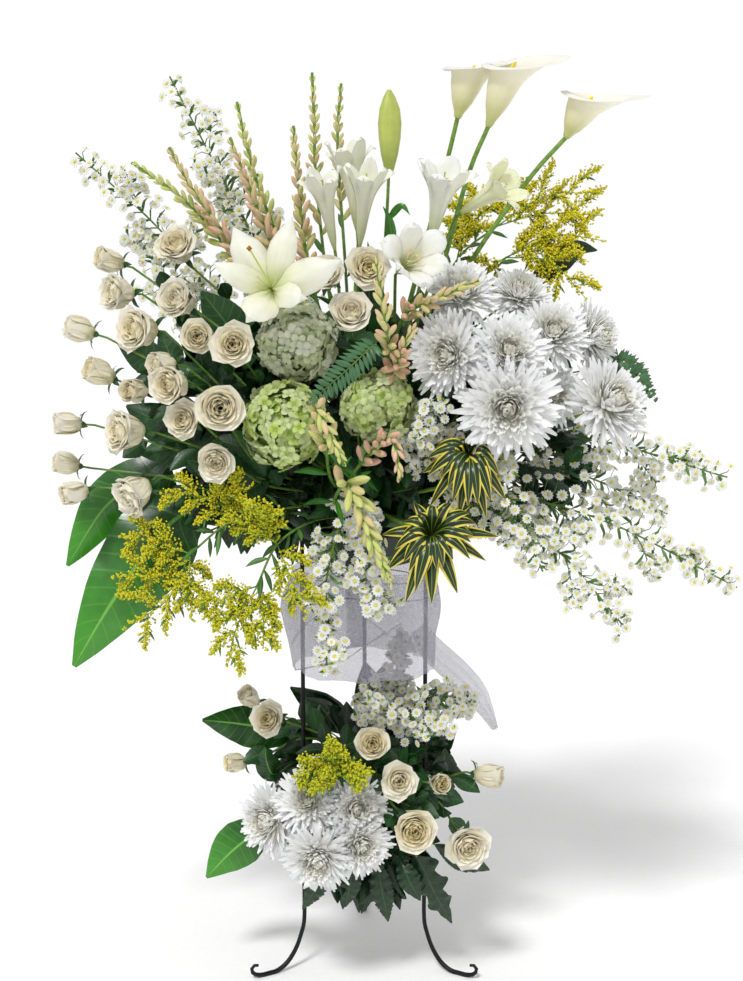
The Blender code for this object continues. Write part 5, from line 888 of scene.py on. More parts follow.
def plumes(name, where, rows, green, seed):
    """Goldenrod: each arm bears arching side fingers, and round every finger short rows of tiny powdery
    florets stand close together, yellow above and greener below."""
    draw = np.random.default_rng(seed)
    heap = Heap()
    florets, tones = [], []
    for number, (points, arms) in enumerate(rows):
        path = add_stem(heap, where, points, number, 0.0022, 30)
        stem_leaves(heap, path, 14, 0.045, 0.008, draw, thin_leaf, 0.3, 0.98)
        whole = [smooth_path(points_of_arm, 30) for points_of_arm in arms]
        fingers = []
        for arm in whole:
            span = np.linalg.norm(arm[-1] - arm[0])
            for at, way in ((5, 1.0), (9, -1.0), (13, 1.0), (17, -1.0), (21, 1.0)):
                start, ahead = arm[at], unit(arm[-1] - arm[at - 4])
                aim = unit(ahead + way * np.array([-ahead[2], 0.0, ahead[0]]) + 0.25 * draw.normal(size=3))
                end = start + 0.38 * span * aim
                fingers.append(smooth_path([start, 0.5 * (start + end) + [0, 0, 0.006], end], 30))
        for arm in whole + fingers:
            heap.add(swept(arm, np.linspace(0.0013, 0.0005, 30), 5), stem_skin, 0.1)
            stem_leaves(heap, arm, 3, 0.020, 0.004, draw, thin_leaf, 0.1, 0.7)
            along, side, other = path_sides(arm)
            for k in range(26):
                share = 0.12 + 0.88 * k / 25
                i = int(share * 29)
                angle = 2.4 * k + draw.uniform(-0.3, 0.3)
                out = math.cos(angle) * side[i] + math.sin(angle) * other[i] + np.array([0, 0, 0.25])
                reach = 0.0125 * (1.15 - 0.75 * share) * draw.uniform(0.7, 1.2)
                t = np.linspace(0.15, 1.0, 6)[:, None]
                row = arm[i] + reach * (out * t + along[i] * t**2 * 0.8)
                florets.append(row + draw.normal(size=row.shape) * 0.0009)
                tones.append(green + draw.uniform(-0.15, 0.15, 6) - 0.25 * out[2])
    florets = np.concatenate(florets)
    sizes = 0.0042 * draw.uniform(0.7, 1.3, (len(florets), 1))
    bases = bases_for(draw.normal(size=florets.shape), draw.uniform(0, 6, len(florets)))
    heap.add(spread(BEAD, florets, bases, sizes), goldenrod_floret,
             np.repeat(np.clip(np.concatenate(tones), 0, 1), len(BEAD["points"])))
    heap.piece(name + "_plumes", (name,), 180.0)


def lily_tepals(heap, throat, tips, draw):
    """An open lily's six tepals, each arching from the throat and rolling back at its tip, with bare green
    filaments, since florists take the anthers off, and one long pistil."""
    for tip, width in tips:
        tip = np.array(tip)
        near = throat + 0.38 * (tip - throat) + np.array([0.0, -0.024, 0.0])
        far = throat + 0.76 * (tip - throat) + np.array([0.0, -0.026, 0.0])
        start = throat + np.array([0.0, 0.004, 0.0]) - 0.04 * (tip - throat)
        heap.add(leaf([start, near, far, tip], 1.12 * width, (0.30, 0.62, 0.88, 1.0, 0.96, 0.78, 0.44, 0.05), FRONT,
                      18, 9, 0.22, 0.10, 3.0, draw.uniform(0, 6), 0.35, 0.0009), lily_petal, 0.25)
    for k in range(6):
        angle = math.tau * (k + 0.4) / 6
        end = throat + np.array([0.016 * math.cos(angle) - 0.006, -0.046, 0.014 * math.sin(angle) + 0.012])
        heap.add(swept([throat, 0.5 * (throat + end) + [0, -0.006, 0], end], [0.0014, 0.0010, 0.0007], 5),
                 bud_skin, 0.9)
    end = np.array([-0.160, -0.292, 1.182])
    heap.add(swept([throat, throat + [-0.006, -0.05, 0.020], end], [0.0024, 0.0016, 0.0014], 6), bud_skin, 0.9)
    heap.add(moved(BEAD, None, 0.009, end), pollen, 0.3)


def trumpets(name, where, rows, seed):
    """A bunch of trumpet lilies, each from its narrow base to its flared mouth."""
    draw = np.random.default_rng(seed)
    heap = Heap()
    for number, (mouth, low, size, via) in enumerate(rows):
        mouth, low = np.array(mouth), np.array(low)
        axis = mouth - low
        add_stem(heap, where, [via, low - 0.010 * unit(axis), low + 0.004 * unit(axis)], number, 0.0030)
        length = np.linalg.norm(axis)
        facing_basis = basis_for(axis, draw.uniform(0, 1))
        heap.add(moved(TRUMPETS[number % 3], facing_basis, (1.3 * size, 1.3 * size, 1.06 * length), low),
                 lily_petal, draw.uniform(0.0, 0.25) + 0.6 * (axis[2] < 0.06 and axis[0] > 0.05))
        for k in range(5):
            angle = math.tau * k / 5
            first, second, _ = basis_for(axis)
            end = low + 0.80 * axis + 0.13 * size * (math.cos(angle) * first + math.sin(angle) * second)
            heap.add(swept([low + 0.3 * axis, end], 0.0008, 4), lily_petal, 0.9)
            heap.add(swept([end - 0.004 * first, end, end + 0.004 * first], [0.0007, 0.0013, 0.0007], 5), pale_pollen)
        heap.add(swept([low + 0.3 * axis, low + 0.88 * axis, low + 0.90 * axis], [0.0010, 0.0012, 0.0026], 6),
                 bud_skin, 0.9)
    heap.piece(name + "_flowers", (name,))


def calla(name, where, via, neck, mouth, lip):
    """A calla: one spathe rolled round its spadix, running out to one pointed lip and curled back along the
    rim, which is low in front and on the side away from the lip. The angle goes past a full turn, so the
    edges lap."""
    heap = Heap()
    neck, mouth, lip = np.array(neck), np.array(mouth), np.array(lip)
    up = unit(mouth - neck)
    reach = lip - mouth
    side = unit(reach - up * np.dot(reach, up))
    other = np.cross(up, side)
    length = np.linalg.norm(mouth - neck)
    add_stem(heap, where, [*via, neck], 0, 0.0044, 30, 0.1, 10)
    t = np.linspace(-0.04, 1.0, 32)[:, None]
    angle = np.linspace(-1.12, 1.12, 55)[None, :] * math.pi
    lean = 0.5 + 0.5 * np.cos(angle)
    open_out = np.clip((t - 0.50) / 0.50, 0, 1) ** 2
    roll = np.clip((t - 0.88) / 0.12, 0, 1) ** 2
    way = np.cos(angle)[..., None] * side + np.sin(angle)[..., None] * other
    radius = np.interp(t, [-0.04, 0.06, 0.22, 0.45, 0.70, 1.0], [0.0042, 0.0072, 0.0150, 0.0225, 0.0275, 0.0310])
    radius = radius * (1 - 0.06 * np.sign(angle) * (1 - lean)) + 0.006 * open_out + 0.005 * roll
    drop = open_out * (0.36 * (1 - lean) ** 1.8 + 0.22 * np.maximum(0.0, -way[..., 1]) ** 1.2) * length + 0.003 * roll
    grid = (neck + up * (length * t - drop)[..., None] + radius[..., None] * way
            + (open_out * lean**4)[..., None] * reach)
    heap.add(thin_sheet(grid[:, ::-1], 0.0008), calla_spathe, 0.15)
    base, end = neck + 0.30 * length * up, neck + 0.80 * length * up + 0.004 * side
    heap.add(swept(smooth_path([base, end], 14), 0.0046 * np.array([0.7, 1, 1, 1, 1, 1, 1, 1, 0.98, 0.95, 0.9, 0.8,
                                                                   0.6, 0.25]), 12), spadix_pollen)
    heap.piece(name + "_spathe", (name,))


roses("roses_top_left", ("upper", "top", -0.050, -0.045), (
    ([(-0.16, -0.04, 1.00)], (-0.395, -0.030, 1.160), 0.056, (-0.8, -0.5, 0.3), False, None),
    ([(-0.13, -0.05, 1.02)], (-0.285, -0.060, 1.178), 0.062, (-0.3, -0.8, 0.6), True, None),
    ([(-0.17, -0.06, 0.98)], (-0.370, -0.100, 1.113), 0.058, (-0.75, -0.7, 0.1), True,
     (0.35, (-0.250, -0.085, 1.115))),
    ([(-0.14, -0.08, 0.99)], (-0.275, -0.140, 1.101), 0.064, (-0.4, -0.9, 0.3), True, None),
), 21)
roses("roses_middle_left", ("upper", "left", -0.026, 0.827), (
    ([(-0.20, -0.06, 0.93)], (-0.436, -0.080, 1.055), 0.058, (-0.9, -0.3, 0.3), False,
     (0.55, (-0.385, -0.060, 1.035))),
    ([(-0.19, -0.10, 0.94)], (-0.332, -0.150, 1.060), 0.066, (-0.65, -0.75, 0.1), True, None),
    ([(-0.22, -0.08, 0.90)], (-0.402, -0.110, 0.990), 0.060, (-0.8, -0.5, 0.4), False, None),
    ([(-0.20, -0.11, 0.90)], (-0.343, -0.155, 0.968), 0.054, (-0.5, -0.85, 0.1), False, None),
), 22)
roses("roses_inner_left", ("upper", "front", -0.050, 0.827), (
    ([(-0.15, -0.115, 0.94)], (-0.245, -0.185, 1.050), 0.056, FRONT, True, None),
    ([(-0.14, -0.115, 0.95)], (-0.190, -0.205, 1.040), 0.062, FRONT, True, None),
    ([(-0.17, -0.115, 0.92)], (-0.297, -0.180, 1.010), 0.054, LEFT_FRONT, False, None),
    ([(-0.17, -0.125, 0.91)], (-0.278, -0.220, 0.985), 0.062, (-0.4, -0.9, 0.0), True, None),
), 23)
roses("roses_front_left", ("upper", "front", -0.050, 0.804), (
    ([(-0.16, -0.13, 0.85)], (-0.208, -0.245, 0.952), 0.076, (0.05, -1.0, 0.1), True, None),
    ([(-0.17, -0.12, 0.85)], (-0.262, -0.205, 0.930), 0.054, (-0.3, -0.9, 0.1), True, None),
    ([(-0.15, -0.13, 0.82)], (-0.216, -0.225, 0.873), 0.058, (0.0, -0.9, -0.1), True,
     (0.30, (-0.265, -0.190, 0.868))),
), 24)
roses("roses_low_left", ("upper", "left", -0.026, 0.800), (
    ([(-0.22, -0.07, 0.845)], (-0.455, -0.100, 0.912), 0.054, (-0.9, -0.4, 0.1), False,
     (0.40, (-0.375, -0.050, 0.935))),
    ([(-0.20, -0.10, 0.855)], (-0.352, -0.170, 0.908), 0.066, (-0.8, -0.6, 0.1), True, None),
    ([(-0.23, -0.06, 0.815)], (-0.468, -0.055, 0.842), 0.052, (-0.9, -0.3, 0.2), False, None),
    ([(-0.23, -0.08, 0.800)], (-0.446, -0.110, 0.806), 0.054, (-0.8, -0.6, -0.1), False, None),
    ([(-0.20, -0.10, 0.800)], (-0.342, -0.170, 0.818), 0.064, (-0.6, -0.6, -0.4), True,
     (0.40, (-0.290, -0.100, 0.868))),
), 25)
roses("roses_centre", ("upper", "top", -0.005, -0.045), (
    ([(-0.020, -0.07, 1.02)], (-0.056, -0.150, 1.140), 0.058, (0.0, -0.9, 0.3), True, None),
    ([(-0.008, -0.075, 1.02)], (0.005, -0.160, 1.148), 0.062, (0.1, -0.9, 0.3), True, None),
    ([(-0.012, -0.090, 1.02)], (-0.018, -0.225, 1.082), 0.064, (0.0, -0.8, 0.5), True, None),
), 26)
roses("roses_lower_left", ("lower", "top", -0.040, -0.030), (
    ([(-0.085, -0.030, 0.405)], (-0.186, -0.020, 0.448), 0.048, (-0.5, -0.5, 0.7), False, None),
    ([(-0.080, -0.045, 0.400)], (-0.150, -0.080, 0.432), 0.054, (-0.3, -0.9, 0.3), True, None),
    ([(-0.105, -0.035, 0.385)], (-0.208, -0.030, 0.342), 0.046, (-0.8, -0.5, 0.1), False, None),
), 27)
roses("roses_lower_front", ("lower", "front", 0.020, 0.325), (
    ([(0.016, -0.095, 0.375)], (0.014, -0.145, 0.410), 0.058, (0.0, -0.9, 0.4), True, None),
    ([(0.036, -0.11, 0.345)], (0.053, -0.175, 0.364), 0.056, (0.1, -0.9, 0.2), True, None),
    ([(0.080, -0.10, 0.335)], (0.118, -0.155, 0.350), 0.050, (0.2, -0.9, 0.3), False, None),
    ([(0.044, -0.12, 0.305)], (0.076, -0.205, 0.297), 0.072, (0.1, -1.0, 0.1), True,
     (0.50, (0.118, -0.170, 0.300))),
), 28)
roses("roses_lower_right", ("lower", "right", -0.016, 0.300), (
    ([(0.125, -0.030, 0.315)], (0.199, -0.060, 0.332), 0.058, (0.9, -0.3, 0.0), False, None),
    ([(0.120, -0.050, 0.285)], (0.161, -0.140, 0.247), 0.068, (0.2, -0.9, 0.0), True, None),
), 29)

mums("chrysanthemums_back", ("upper", "top", 0.052, -0.020), (
    ([(0.085, -0.045, 1.00)], (0.150, -0.105, 1.112), 0.100, (0.0, -0.8, 0.6)),
    ([(0.110, -0.030, 1.00)], (0.243, -0.050, 1.108), 0.088, (0.2, -0.6, 0.8)),
    ([(0.150, -0.040, 0.97)], (0.356, -0.065, 1.042), 0.096, (0.8, -0.6, 0.2)),
    ([(0.130, -0.060, 0.98)], (0.286, -0.135, 1.052), 0.096, (0.1, -0.8, 0.5)),
), 31)
mums("chrysanthemums_front", ("upper", "right", -0.026, 0.827), (
    ([(0.105, -0.10, 0.930)], (0.127, -0.205, 1.026), 0.110, (-0.4, -0.9, 0.1)),
    ([(0.140, -0.10, 0.920)], (0.213, -0.215, 1.030), 0.100, (0.1, -0.9, 0.4)),
    ([(0.140, -0.11, 0.890)], (0.211, -0.245, 0.952), 0.126, (-0.1, -1.0, 0.0)),
    ([(0.150, -0.08, 0.890)], (0.290, -0.150, 0.960), 0.076, (0.1, -0.9, 0.0)),
    ([(0.170, -0.09, 0.880)], (0.366, -0.185, 0.952), 0.118, (0.5, -0.7, 0.4)),
), 32)
mums("chrysanthemums_lower", ("lower", "front", -0.020, 0.300), (
    ([(-0.060, -0.10, 0.290)], (-0.147, -0.145, 0.286), 0.098, (-0.6, -0.8, 0.1)),
    ([(-0.050, -0.10, 0.310)], (-0.086, -0.170, 0.326), 0.096, (-0.1, -0.9, 0.5)),
    ([(-0.020, -0.10, 0.310)], (-0.014, -0.165, 0.312), 0.092, (0.2, -0.9, 0.3)),
    ([(-0.040, -0.11, 0.275)], (-0.070, -0.200, 0.246), 0.096, (-0.1, -0.9, -0.2)),
    ([(-0.015, -0.10, 0.285)], (-0.006, -0.185, 0.262), 0.090, (0.3, -0.9, 0.0)),
), 33)

mophead("hydrangea_upper", ("upper", "front", -0.029, 0.828), [(-0.060, -0.095, 0.95)], (-0.100, -0.140, 1.040),
        0.116, 0.75, 41)
mophead("hydrangea_left", ("upper", "front", -0.028, 0.807), [(-0.060, -0.12, 0.870)], (-0.118, -0.195, 0.922),
        0.126, 0.15, 42)
mophead("hydrangea_right", ("upper", "front", 0.016, 0.828), [(0.022, -0.10, 0.890)], (0.022, -0.172, 0.946),
        0.104, 0.25, 43)

spikes("tuberose_left", ("upper", "top", -0.052, -0.012), (
    ([(-0.13, -0.012, 1.05), (-0.235, -0.015, 1.205), (-0.300, -0.020, 1.270), (-0.362, -0.025, 1.312)], 13, 0.50,
     0.013),
    ([(-0.12, -0.025, 1.06), (-0.205, -0.035, 1.185), (-0.262, -0.045, 1.265), (-0.300, -0.050, 1.334)], 12, 0.50,
     0.014),
), (0.75, 0.1), 51)
spikes("tuberose_back", ("upper", "top", -0.036, 0.040), (
    ([(-0.09, 0.030, 1.08), (-0.158, 0.020, 1.250), (-0.184, 0.020, 1.335), (-0.200, 0.020, 1.408)], 11, 0.58, 0.012),
    ([(-0.09, 0.010, 1.06), (-0.150, -0.005, 1.195), (-0.180, -0.010, 1.275), (-0.209, -0.015, 1.351)], 12, 0.50,
     0.014),
), (0.7, 0.1), 52)
spikes("tuberose_middle", ("upper", "top", -0.016, 0.030), (
    ([(-0.065, 0.000, 1.06), (-0.092, -0.020, 1.180), (-0.102, -0.025, 1.280), (-0.109, -0.030, 1.368)], 12, 0.52,
     0.013),
    ([(-0.058, 0.025, 1.12), (-0.076, 0.018, 1.290), (-0.078, 0.015, 1.370), (-0.081, 0.010, 1.452)], 11, 0.60,
     0.011),
    ([(-0.030, 0.040, 1.15), (-0.042, 0.042, 1.340), (-0.036, 0.040, 1.438)], 9, 0.66, 0.011),
), (0.3, 0.4, 0.4), 53)
spikes("tuberose_front", ("upper", "top", 0.022, -0.045), (
    ([(0.030, -0.085, 0.99), (0.040, -0.18, 1.015), (0.034, -0.262, 1.060), (0.026, -0.262, 1.115),
      (0.018, -0.255, 1.170)], 8, 0.62, 0.013),
    ([(0.034, -0.090, 0.98), (0.046, -0.20, 1.005), (0.056, -0.255, 1.035), (0.074, -0.262, 1.074)], 8, 0.60, 0.014),
    ([(0.042, -0.085, 1.00), (0.060, -0.16, 1.080), (0.100, -0.225, 1.105), (0.166, -0.250, 1.136)], 9, 0.62, 0.013),
), (0.35, 0.1, 0.25), 54)
spikes("tuberose_hanging", ("upper", "front", -0.026, 0.786), (
    ([(-0.050, -0.16, 0.835), (-0.055, -0.255, 0.90), (-0.066, -0.292, 0.955), (-0.052, -0.302, 0.930),
      (-0.027, -0.300, 0.874)], 9, 0.55, 0.014),
    ([(-0.020, -0.15, 0.835), (0.030, -0.25, 0.905), (0.046, -0.285, 0.900), (0.053, -0.290, 0.852)], 8, 0.50, 0.013),
    ([(-0.045, -0.17, 0.800), (-0.022, -0.262, 0.842), (0.008, -0.290, 0.775), (0.041, -0.285, 0.698)], 11, 0.50,
     0.015),
), (0.5, 0.0, 0.55), 55)

daisy_sprays("daisies_back_left", ("upper", "top", -0.052, 0.046), (
    ([(-0.12, 0.08, 1.08), (-0.235, 0.085, 1.300), (-0.312, 0.075, 1.452)], 14, 0.050, 0.34),
    ([(-0.11, 0.09, 1.05), (-0.200, 0.110, 1.200), (-0.240, 0.110, 1.330)], 9, 0.052, 0.40),
), 61)
daisy_sprays("daisies_left", ("upper", "left", 0.042, 0.826), (
    ([(-0.16, 0.055, 1.00), (-0.320, 0.045, 1.200), (-0.458, 0.030, 1.330)], 15, 0.050, 0.34),
    ([(-0.17, 0.070, 0.96), (-0.290, 0.075, 1.080), (-0.370, 0.070, 1.200)], 9, 0.050, 0.45),
), 62)
daisy_sprays("daisies_right_upper", ("upper", "right", -0.002, 0.812), (
    ([(0.180, -0.030, 0.865), (0.360, -0.050, 0.880), (0.575, -0.060, 0.822)], 15, 0.050, 0.28),
    ([(0.180, -0.040, 0.840), (0.330, -0.060, 0.830), (0.480, -0.070, 0.765)], 12, 0.048, 0.34),
    ([(0.170, -0.020, 0.890), (0.300, -0.020, 0.935), (0.430, -0.030, 0.905)], 9, 0.040, 0.40),
), 63)
daisy_sprays("daisies_right_lower", ("upper", "right", -0.026, 0.796), (
    ([(0.180, -0.110, 0.810), (0.370, -0.130, 0.765), (0.585, -0.110, 0.655)], 15, 0.048, 0.28),
    ([(0.170, -0.130, 0.790), (0.290, -0.170, 0.730), (0.405, -0.160, 0.600)], 13, 0.048, 0.30),
    ([(0.150, -0.140, 0.820), (0.215, -0.195, 0.815), (0.270, -0.205, 0.700)], 10, 0.044, 0.30),
), 64)
daisy_sprays("daisies_middle", ("upper", "front", 0.044, 0.826), (
    ([(0.079, -0.13, 0.880), (0.090, -0.208, 0.925), (0.098, -0.228, 0.962)], 8, 0.034, 0.40),
    ([(0.080, -0.13, 0.850), (0.108, -0.160, 0.880), (0.132, -0.160, 0.905)], 5, 0.030, 0.45),
), 65)
daisy_sprays("daisies_hanging", ("upper", "front", -0.008, 0.764), (
    ([(-0.030, -0.15, 0.770), (-0.055, -0.205, 0.690), (-0.056, -0.205, 0.540)], 12, 0.034, 0.28),
    ([(0.000, -0.15, 0.765), (0.012, -0.205, 0.710), (0.018, -0.215, 0.628)], 8, 0.030, 0.34),
), 66)
daisy_sprays("daisies_lower", ("lower", "top", 0.030, -0.010), (
    ([(0.060, -0.020, 0.430), (0.110, -0.040, 0.450), (0.182, -0.030, 0.448)], 9, 0.036, 0.36),
    ([(0.050, -0.050, 0.420), (0.085, -0.095, 0.440), (0.120, -0.115, 0.425)], 9, 0.038, 0.40),
    ([(0.035, -0.010, 0.440), (0.055, -0.020, 0.500), (0.062, -0.020, 0.560)], 7, 0.028, 0.40),
    ([(0.030, -0.040, 0.430), (0.020, -0.075, 0.455), (-0.010, -0.100, 0.455)], 7, 0.034, 0.45),
), 67)

right, high, low = (0.150, 0.055, 1.16), (0.215, 0.060, 1.215), (0.230, 0.055, 1.165)
plumes("goldenrod_right", ("upper", "top", 0.034, 0.050), (
    ([(0.085, 0.070, 1.03), right, high],
     [[high, (0.290, 0.050, 1.262), (0.375, 0.045, 1.268)], [high, (0.290, 0.060, 1.235), (0.382, 0.055, 1.232)],
      [high, (0.245, 0.065, 1.262), (0.262, 0.070, 1.290)], [right, (0.160, 0.055, 1.215), (0.150, 0.055, 1.262)],
      [right, (0.185, 0.060, 1.235), (0.195, 0.065, 1.275)]]),
    ([(0.105, 0.065, 1.02), low],
     [[low, (0.310, 0.055, 1.200), (0.385, 0.050, 1.192)], [low, (0.300, 0.045, 1.158), (0.358, 0.040, 1.100)],
      [low, (0.275, 0.045, 1.185), (0.330, 0.045, 1.165)], [low, (0.190, 0.060, 1.140), (0.150, 0.060, 1.112)]]),
), 0.25, 71)
hub, elbow = (-0.200, -0.165, 0.770), (-0.265, -0.170, 0.720)
plumes("goldenrod_left", ("upper", "front", -0.050, 0.776), (
    ([(-0.110, -0.125, 0.785), hub, elbow],
     [[hub, (-0.245, -0.185, 0.812), (-0.305, -0.180, 0.815)], [hub, (-0.205, -0.205, 0.815), (-0.165, -0.215, 0.832)],
      [elbow, (-0.320, -0.165, 0.745), (-0.372, -0.155, 0.745)],
      [elbow, (-0.320, -0.165, 0.690), (-0.385, -0.155, 0.680)],
      [elbow, (-0.300, -0.175, 0.650), (-0.368, -0.165, 0.605)],
      [elbow, (-0.265, -0.185, 0.670), (-0.262, -0.185, 0.620)]]),
), 0.45, 72)
hub, elbow = (-0.130, -0.195, 0.740), (-0.160, -0.215, 0.680)
plumes("goldenrod_middle", ("upper", "front", -0.030, 0.762), (
    ([(-0.080, -0.140, 0.765), hub, elbow],
     [[hub, (-0.150, -0.235, 0.785), (-0.140, -0.255, 0.812)], [hub, (-0.175, -0.220, 0.775), (-0.200, -0.235, 0.790)],
      [hub, (-0.105, -0.240, 0.690), (-0.085, -0.245, 0.640)],
      [elbow, (-0.190, -0.225, 0.620), (-0.205, -0.225, 0.560)],
      [elbow, (-0.150, -0.230, 0.640), (-0.150, -0.235, 0.590)],
      [elbow, (-0.205, -0.225, 0.665), (-0.240, -0.220, 0.630)]]),
), 0.55, 73)
hub = (-0.045, -0.165, 0.378)
plumes("goldenrod_lower", ("lower", "front", -0.018, 0.338), (
    ([(-0.035, -0.120, 0.362), hub],
     [[hub, (-0.045, -0.190, 0.405), (-0.035, -0.200, 0.425)], [hub, (-0.080, -0.195, 0.385), (-0.105, -0.205, 0.378)],
      [hub, (-0.015, -0.205, 0.380), (0.005, -0.220, 0.372)],
       [hub, (-0.060, -0.205, 0.360), (-0.075, -0.220, 0.372)]]),
), 0.65, 74)

# The open lily, the trumpet lilies, the closed bud and the callas.
draw = np.random.default_rng(81)
heap = Heap()
throat = np.array([-0.133, -0.215, 1.122])
add_stem(heap, ("upper", "top", -0.028, -0.045), [(-0.10, -0.045, 1.01), (-0.130, -0.075, 1.115),
                                                  throat + [0.0, 0.050, 0.006], throat], 0, 0.0030)
lily_tepals(heap, throat, (
    ((-0.215, -0.250, 1.162), 0.034), ((-0.190, -0.200, 1.212), 0.046), ((-0.103, -0.215, 1.226), 0.038),
    ((-0.030, -0.255, 1.165), 0.048), ((-0.078, -0.290, 1.112), 0.036), ((-0.166, -0.290, 1.078), 0.048),
), draw)
heap.piece("lily_open_flower", ("lily_open",))
trumpets("trumpet_lilies_left", ("upper", "top", -0.030, -0.012), (
    ((-0.066, -0.075, 1.296), (-0.045, -0.045, 1.178), 0.058, (-0.035, -0.02, 1.05)),
    ((-0.026, -0.010, 1.342), (-0.010, -0.008, 1.205), 0.062, (-0.018, -0.01, 1.06)),
    ((0.006, -0.085, 1.305), (-0.006, -0.045, 1.185), 0.062, (-0.014, -0.025, 1.05)),
), 82)
trumpets("trumpet_lilies_right", ("upper", "top", 0.030, -0.012), (
    ((0.126, -0.095, 1.306), (0.105, -0.060, 1.195), 0.078, (0.070, -0.030, 1.05)),
    ((0.082, -0.185, 1.174), (0.052, -0.105, 1.145), 0.080, (0.046, -0.030, 1.03)),
    ((0.222, -0.125, 1.282), (0.150, -0.075, 1.235), 0.066, (0.085, -0.025, 1.07)),
), 83)
heap = Heap()
where = ("upper", "top", 0.003, 0.012)
add_stem(heap, where, [(0.024, -0.005, 1.05), (0.036, -0.02, 1.232), (0.039, -0.02, 1.300)], 0, 0.0030, 24)
bud_profile = [(0.004, 1.292), (0.008, 1.303), (0.0135, 1.325), (0.0172, 1.350), (0.0184, 1.372), (0.0160, 1.394),
               (0.0095, 1.412), (0.003, 1.423)]
bud = turned(bud_profile, 24, lambda angle, profile: 1 + 0.07 * np.cos(3 * angle) + 0.0 * profile[:, :1])
heap.add(moved(bud, None, 1.0, (0.039, -0.02, 0.0)), bud_skin, 0.3)
for spine, width in (([(0.032, -0.015, 1.16), (0.042, -0.024, 1.195), (0.040, -0.028, 1.225), (0.030, -0.02, 1.245)],
                      0.018),
                     ([(0.036, -0.02, 1.222), (0.058, -0.026, 1.246), (0.072, -0.030, 1.232)], 0.012),
                     ([(0.030, -0.01, 1.12), (0.012, -0.030, 1.160), (0.006, -0.040, 1.190)], 0.016)):
    heap.add(leaf(spine, width, LANCE_LEAF, FRONT, 14, 5, 0.3), broad_leaf, 0.8)
heap.piece("lily_bud_flower", ("lily_bud",))
calla("calla_left", ("upper", "top", 0.012, 0.040), [(0.070, 0.040, 1.08), (0.128, 0.035, 1.30)],
      (0.149, 0.032, 1.387), (0.176, 0.030, 1.486), (0.203, 0.022, 1.488))
calla("calla_middle", ("upper", "top", 0.030, 0.020), [(0.110, 0.008, 1.10), (0.163, 0.000, 1.29)],
      (0.196, -0.008, 1.372), (0.238, -0.024, 1.490), (0.280, -0.036, 1.490))
calla("calla_right", ("upper", "top", 0.052, 0.030), [(0.150, 0.020, 1.12), (0.255, 0.010, 1.28)],
      (0.319, 0.005, 1.354), (0.362, -0.005, 1.432), (0.412, -0.015, 1.438))


# Leaves.

def rosette(name, where, via, centre, tips, rise, width, seed):
    """Long arching striped leaves from one centre; a shorter leaf stands between each two long ones."""
    draw = np.random.default_rng(seed)
    heap = Heap()
    centre = np.array(centre)
    facing = unit((0.0, -0.8, 0.5))
    add_stem(heap, where, [*via, centre], 0, 0.0034, 20)
    tips = [np.array(tip) for tip in tips]
    more = [centre + draw.uniform(0.60, 0.95) * (share * a + (1 - share) * b - centre) + 0.022 * facing
            for a, b in zip(tips, tips[1:] + tips[:1]) for share in (0.3, 0.7)]
    for k, tip in enumerate(tips + more):
        short = k >= len(tips)
        lift = rise * (1.8 if short else 1.0)
        near = centre + 0.35 * (tip - centre) + lift * facing
        far = centre + 0.74 * (tip - centre) + 0.75 * lift * facing
        heap.add(leaf([centre, near, far, tip], width * draw.uniform(0.9, 1.1), (0.55, 0.85, 1.0, 1.0, 0.9, 0.72, 0.46,
                 0.05), facing, 16, 7, 0.35, 0.05, 2.0, draw.uniform(0, 6)), striped_leaf, draw.uniform(0.0, 0.8))
    heap.piece(name + "_blades", (name,))


def frond(heap, spine, width, pairs, draw):
    """A fern frond: a wiry rib with narrow leaflets in pairs, longest below the middle."""
    path = smooth_path(spine, 40)
    heap.add(swept(path, np.linspace(0.0011, 0.0004, 40), 5), stem_skin, 0.5)
    along = unit(np.gradient(path, axis=0))
    across = unit(np.cross(along, (0.0, -1.0, 0.2)))
    for k in range(pairs):
        share = 0.08 + 0.90 * k / (pairs - 1)
        i = int(share * 39)
        reach = 0.5 * width * math.sin(math.pi * min(1.0, 0.20 + 0.80 * share)) ** 0.8 + 0.002
        for way in (-1, 1):
            tip = path[i] + reach * (way * across[i] + 0.55 * along[i]) + draw.normal(size=3) * 0.0008
            middle = 0.5 * (path[i] + tip) + np.array([0, -0.0015, 0])
            heap.add(leaf([path[i], middle, tip], 0.0068, LANCE_LEAF, (0.0, -1.0, 0.2), 6, 3, 0.2), fern_leaf,
                     draw.uniform(0.1, 0.9))


rosette("striped_leaves_upper", ("upper", "front", 0.030, 0.800), [(0.085, -0.120, 0.808), (0.145, -0.185, 0.838)],
        (0.156, -0.215, 0.882),
        ((0.088, -0.215, 0.852), (0.098, -0.240, 0.806), (0.140, -0.255, 0.792), (0.180, -0.255, 0.792),
         (0.210, -0.235, 0.815), (0.208, -0.205, 0.868), (0.090, -0.190, 0.885)), 0.016, 0.0200, 91)
rosette("striped_leaves_lower", ("upper", "front", 0.016, 0.772), [(0.040, -0.130, 0.770), (0.075, -0.200, 0.765)],
        (0.100, -0.240, 0.762),
        ((0.028, -0.250, 0.765), (0.035, -0.262, 0.715), (0.062, -0.272, 0.668), (0.100, -0.278, 0.668),
         (0.138, -0.272, 0.682), (0.180, -0.260, 0.728), (0.198, -0.250, 0.762), (0.160, -0.235, 0.808),
         (0.075, -0.235, 0.810)), 0.018, 0.0215, 92)

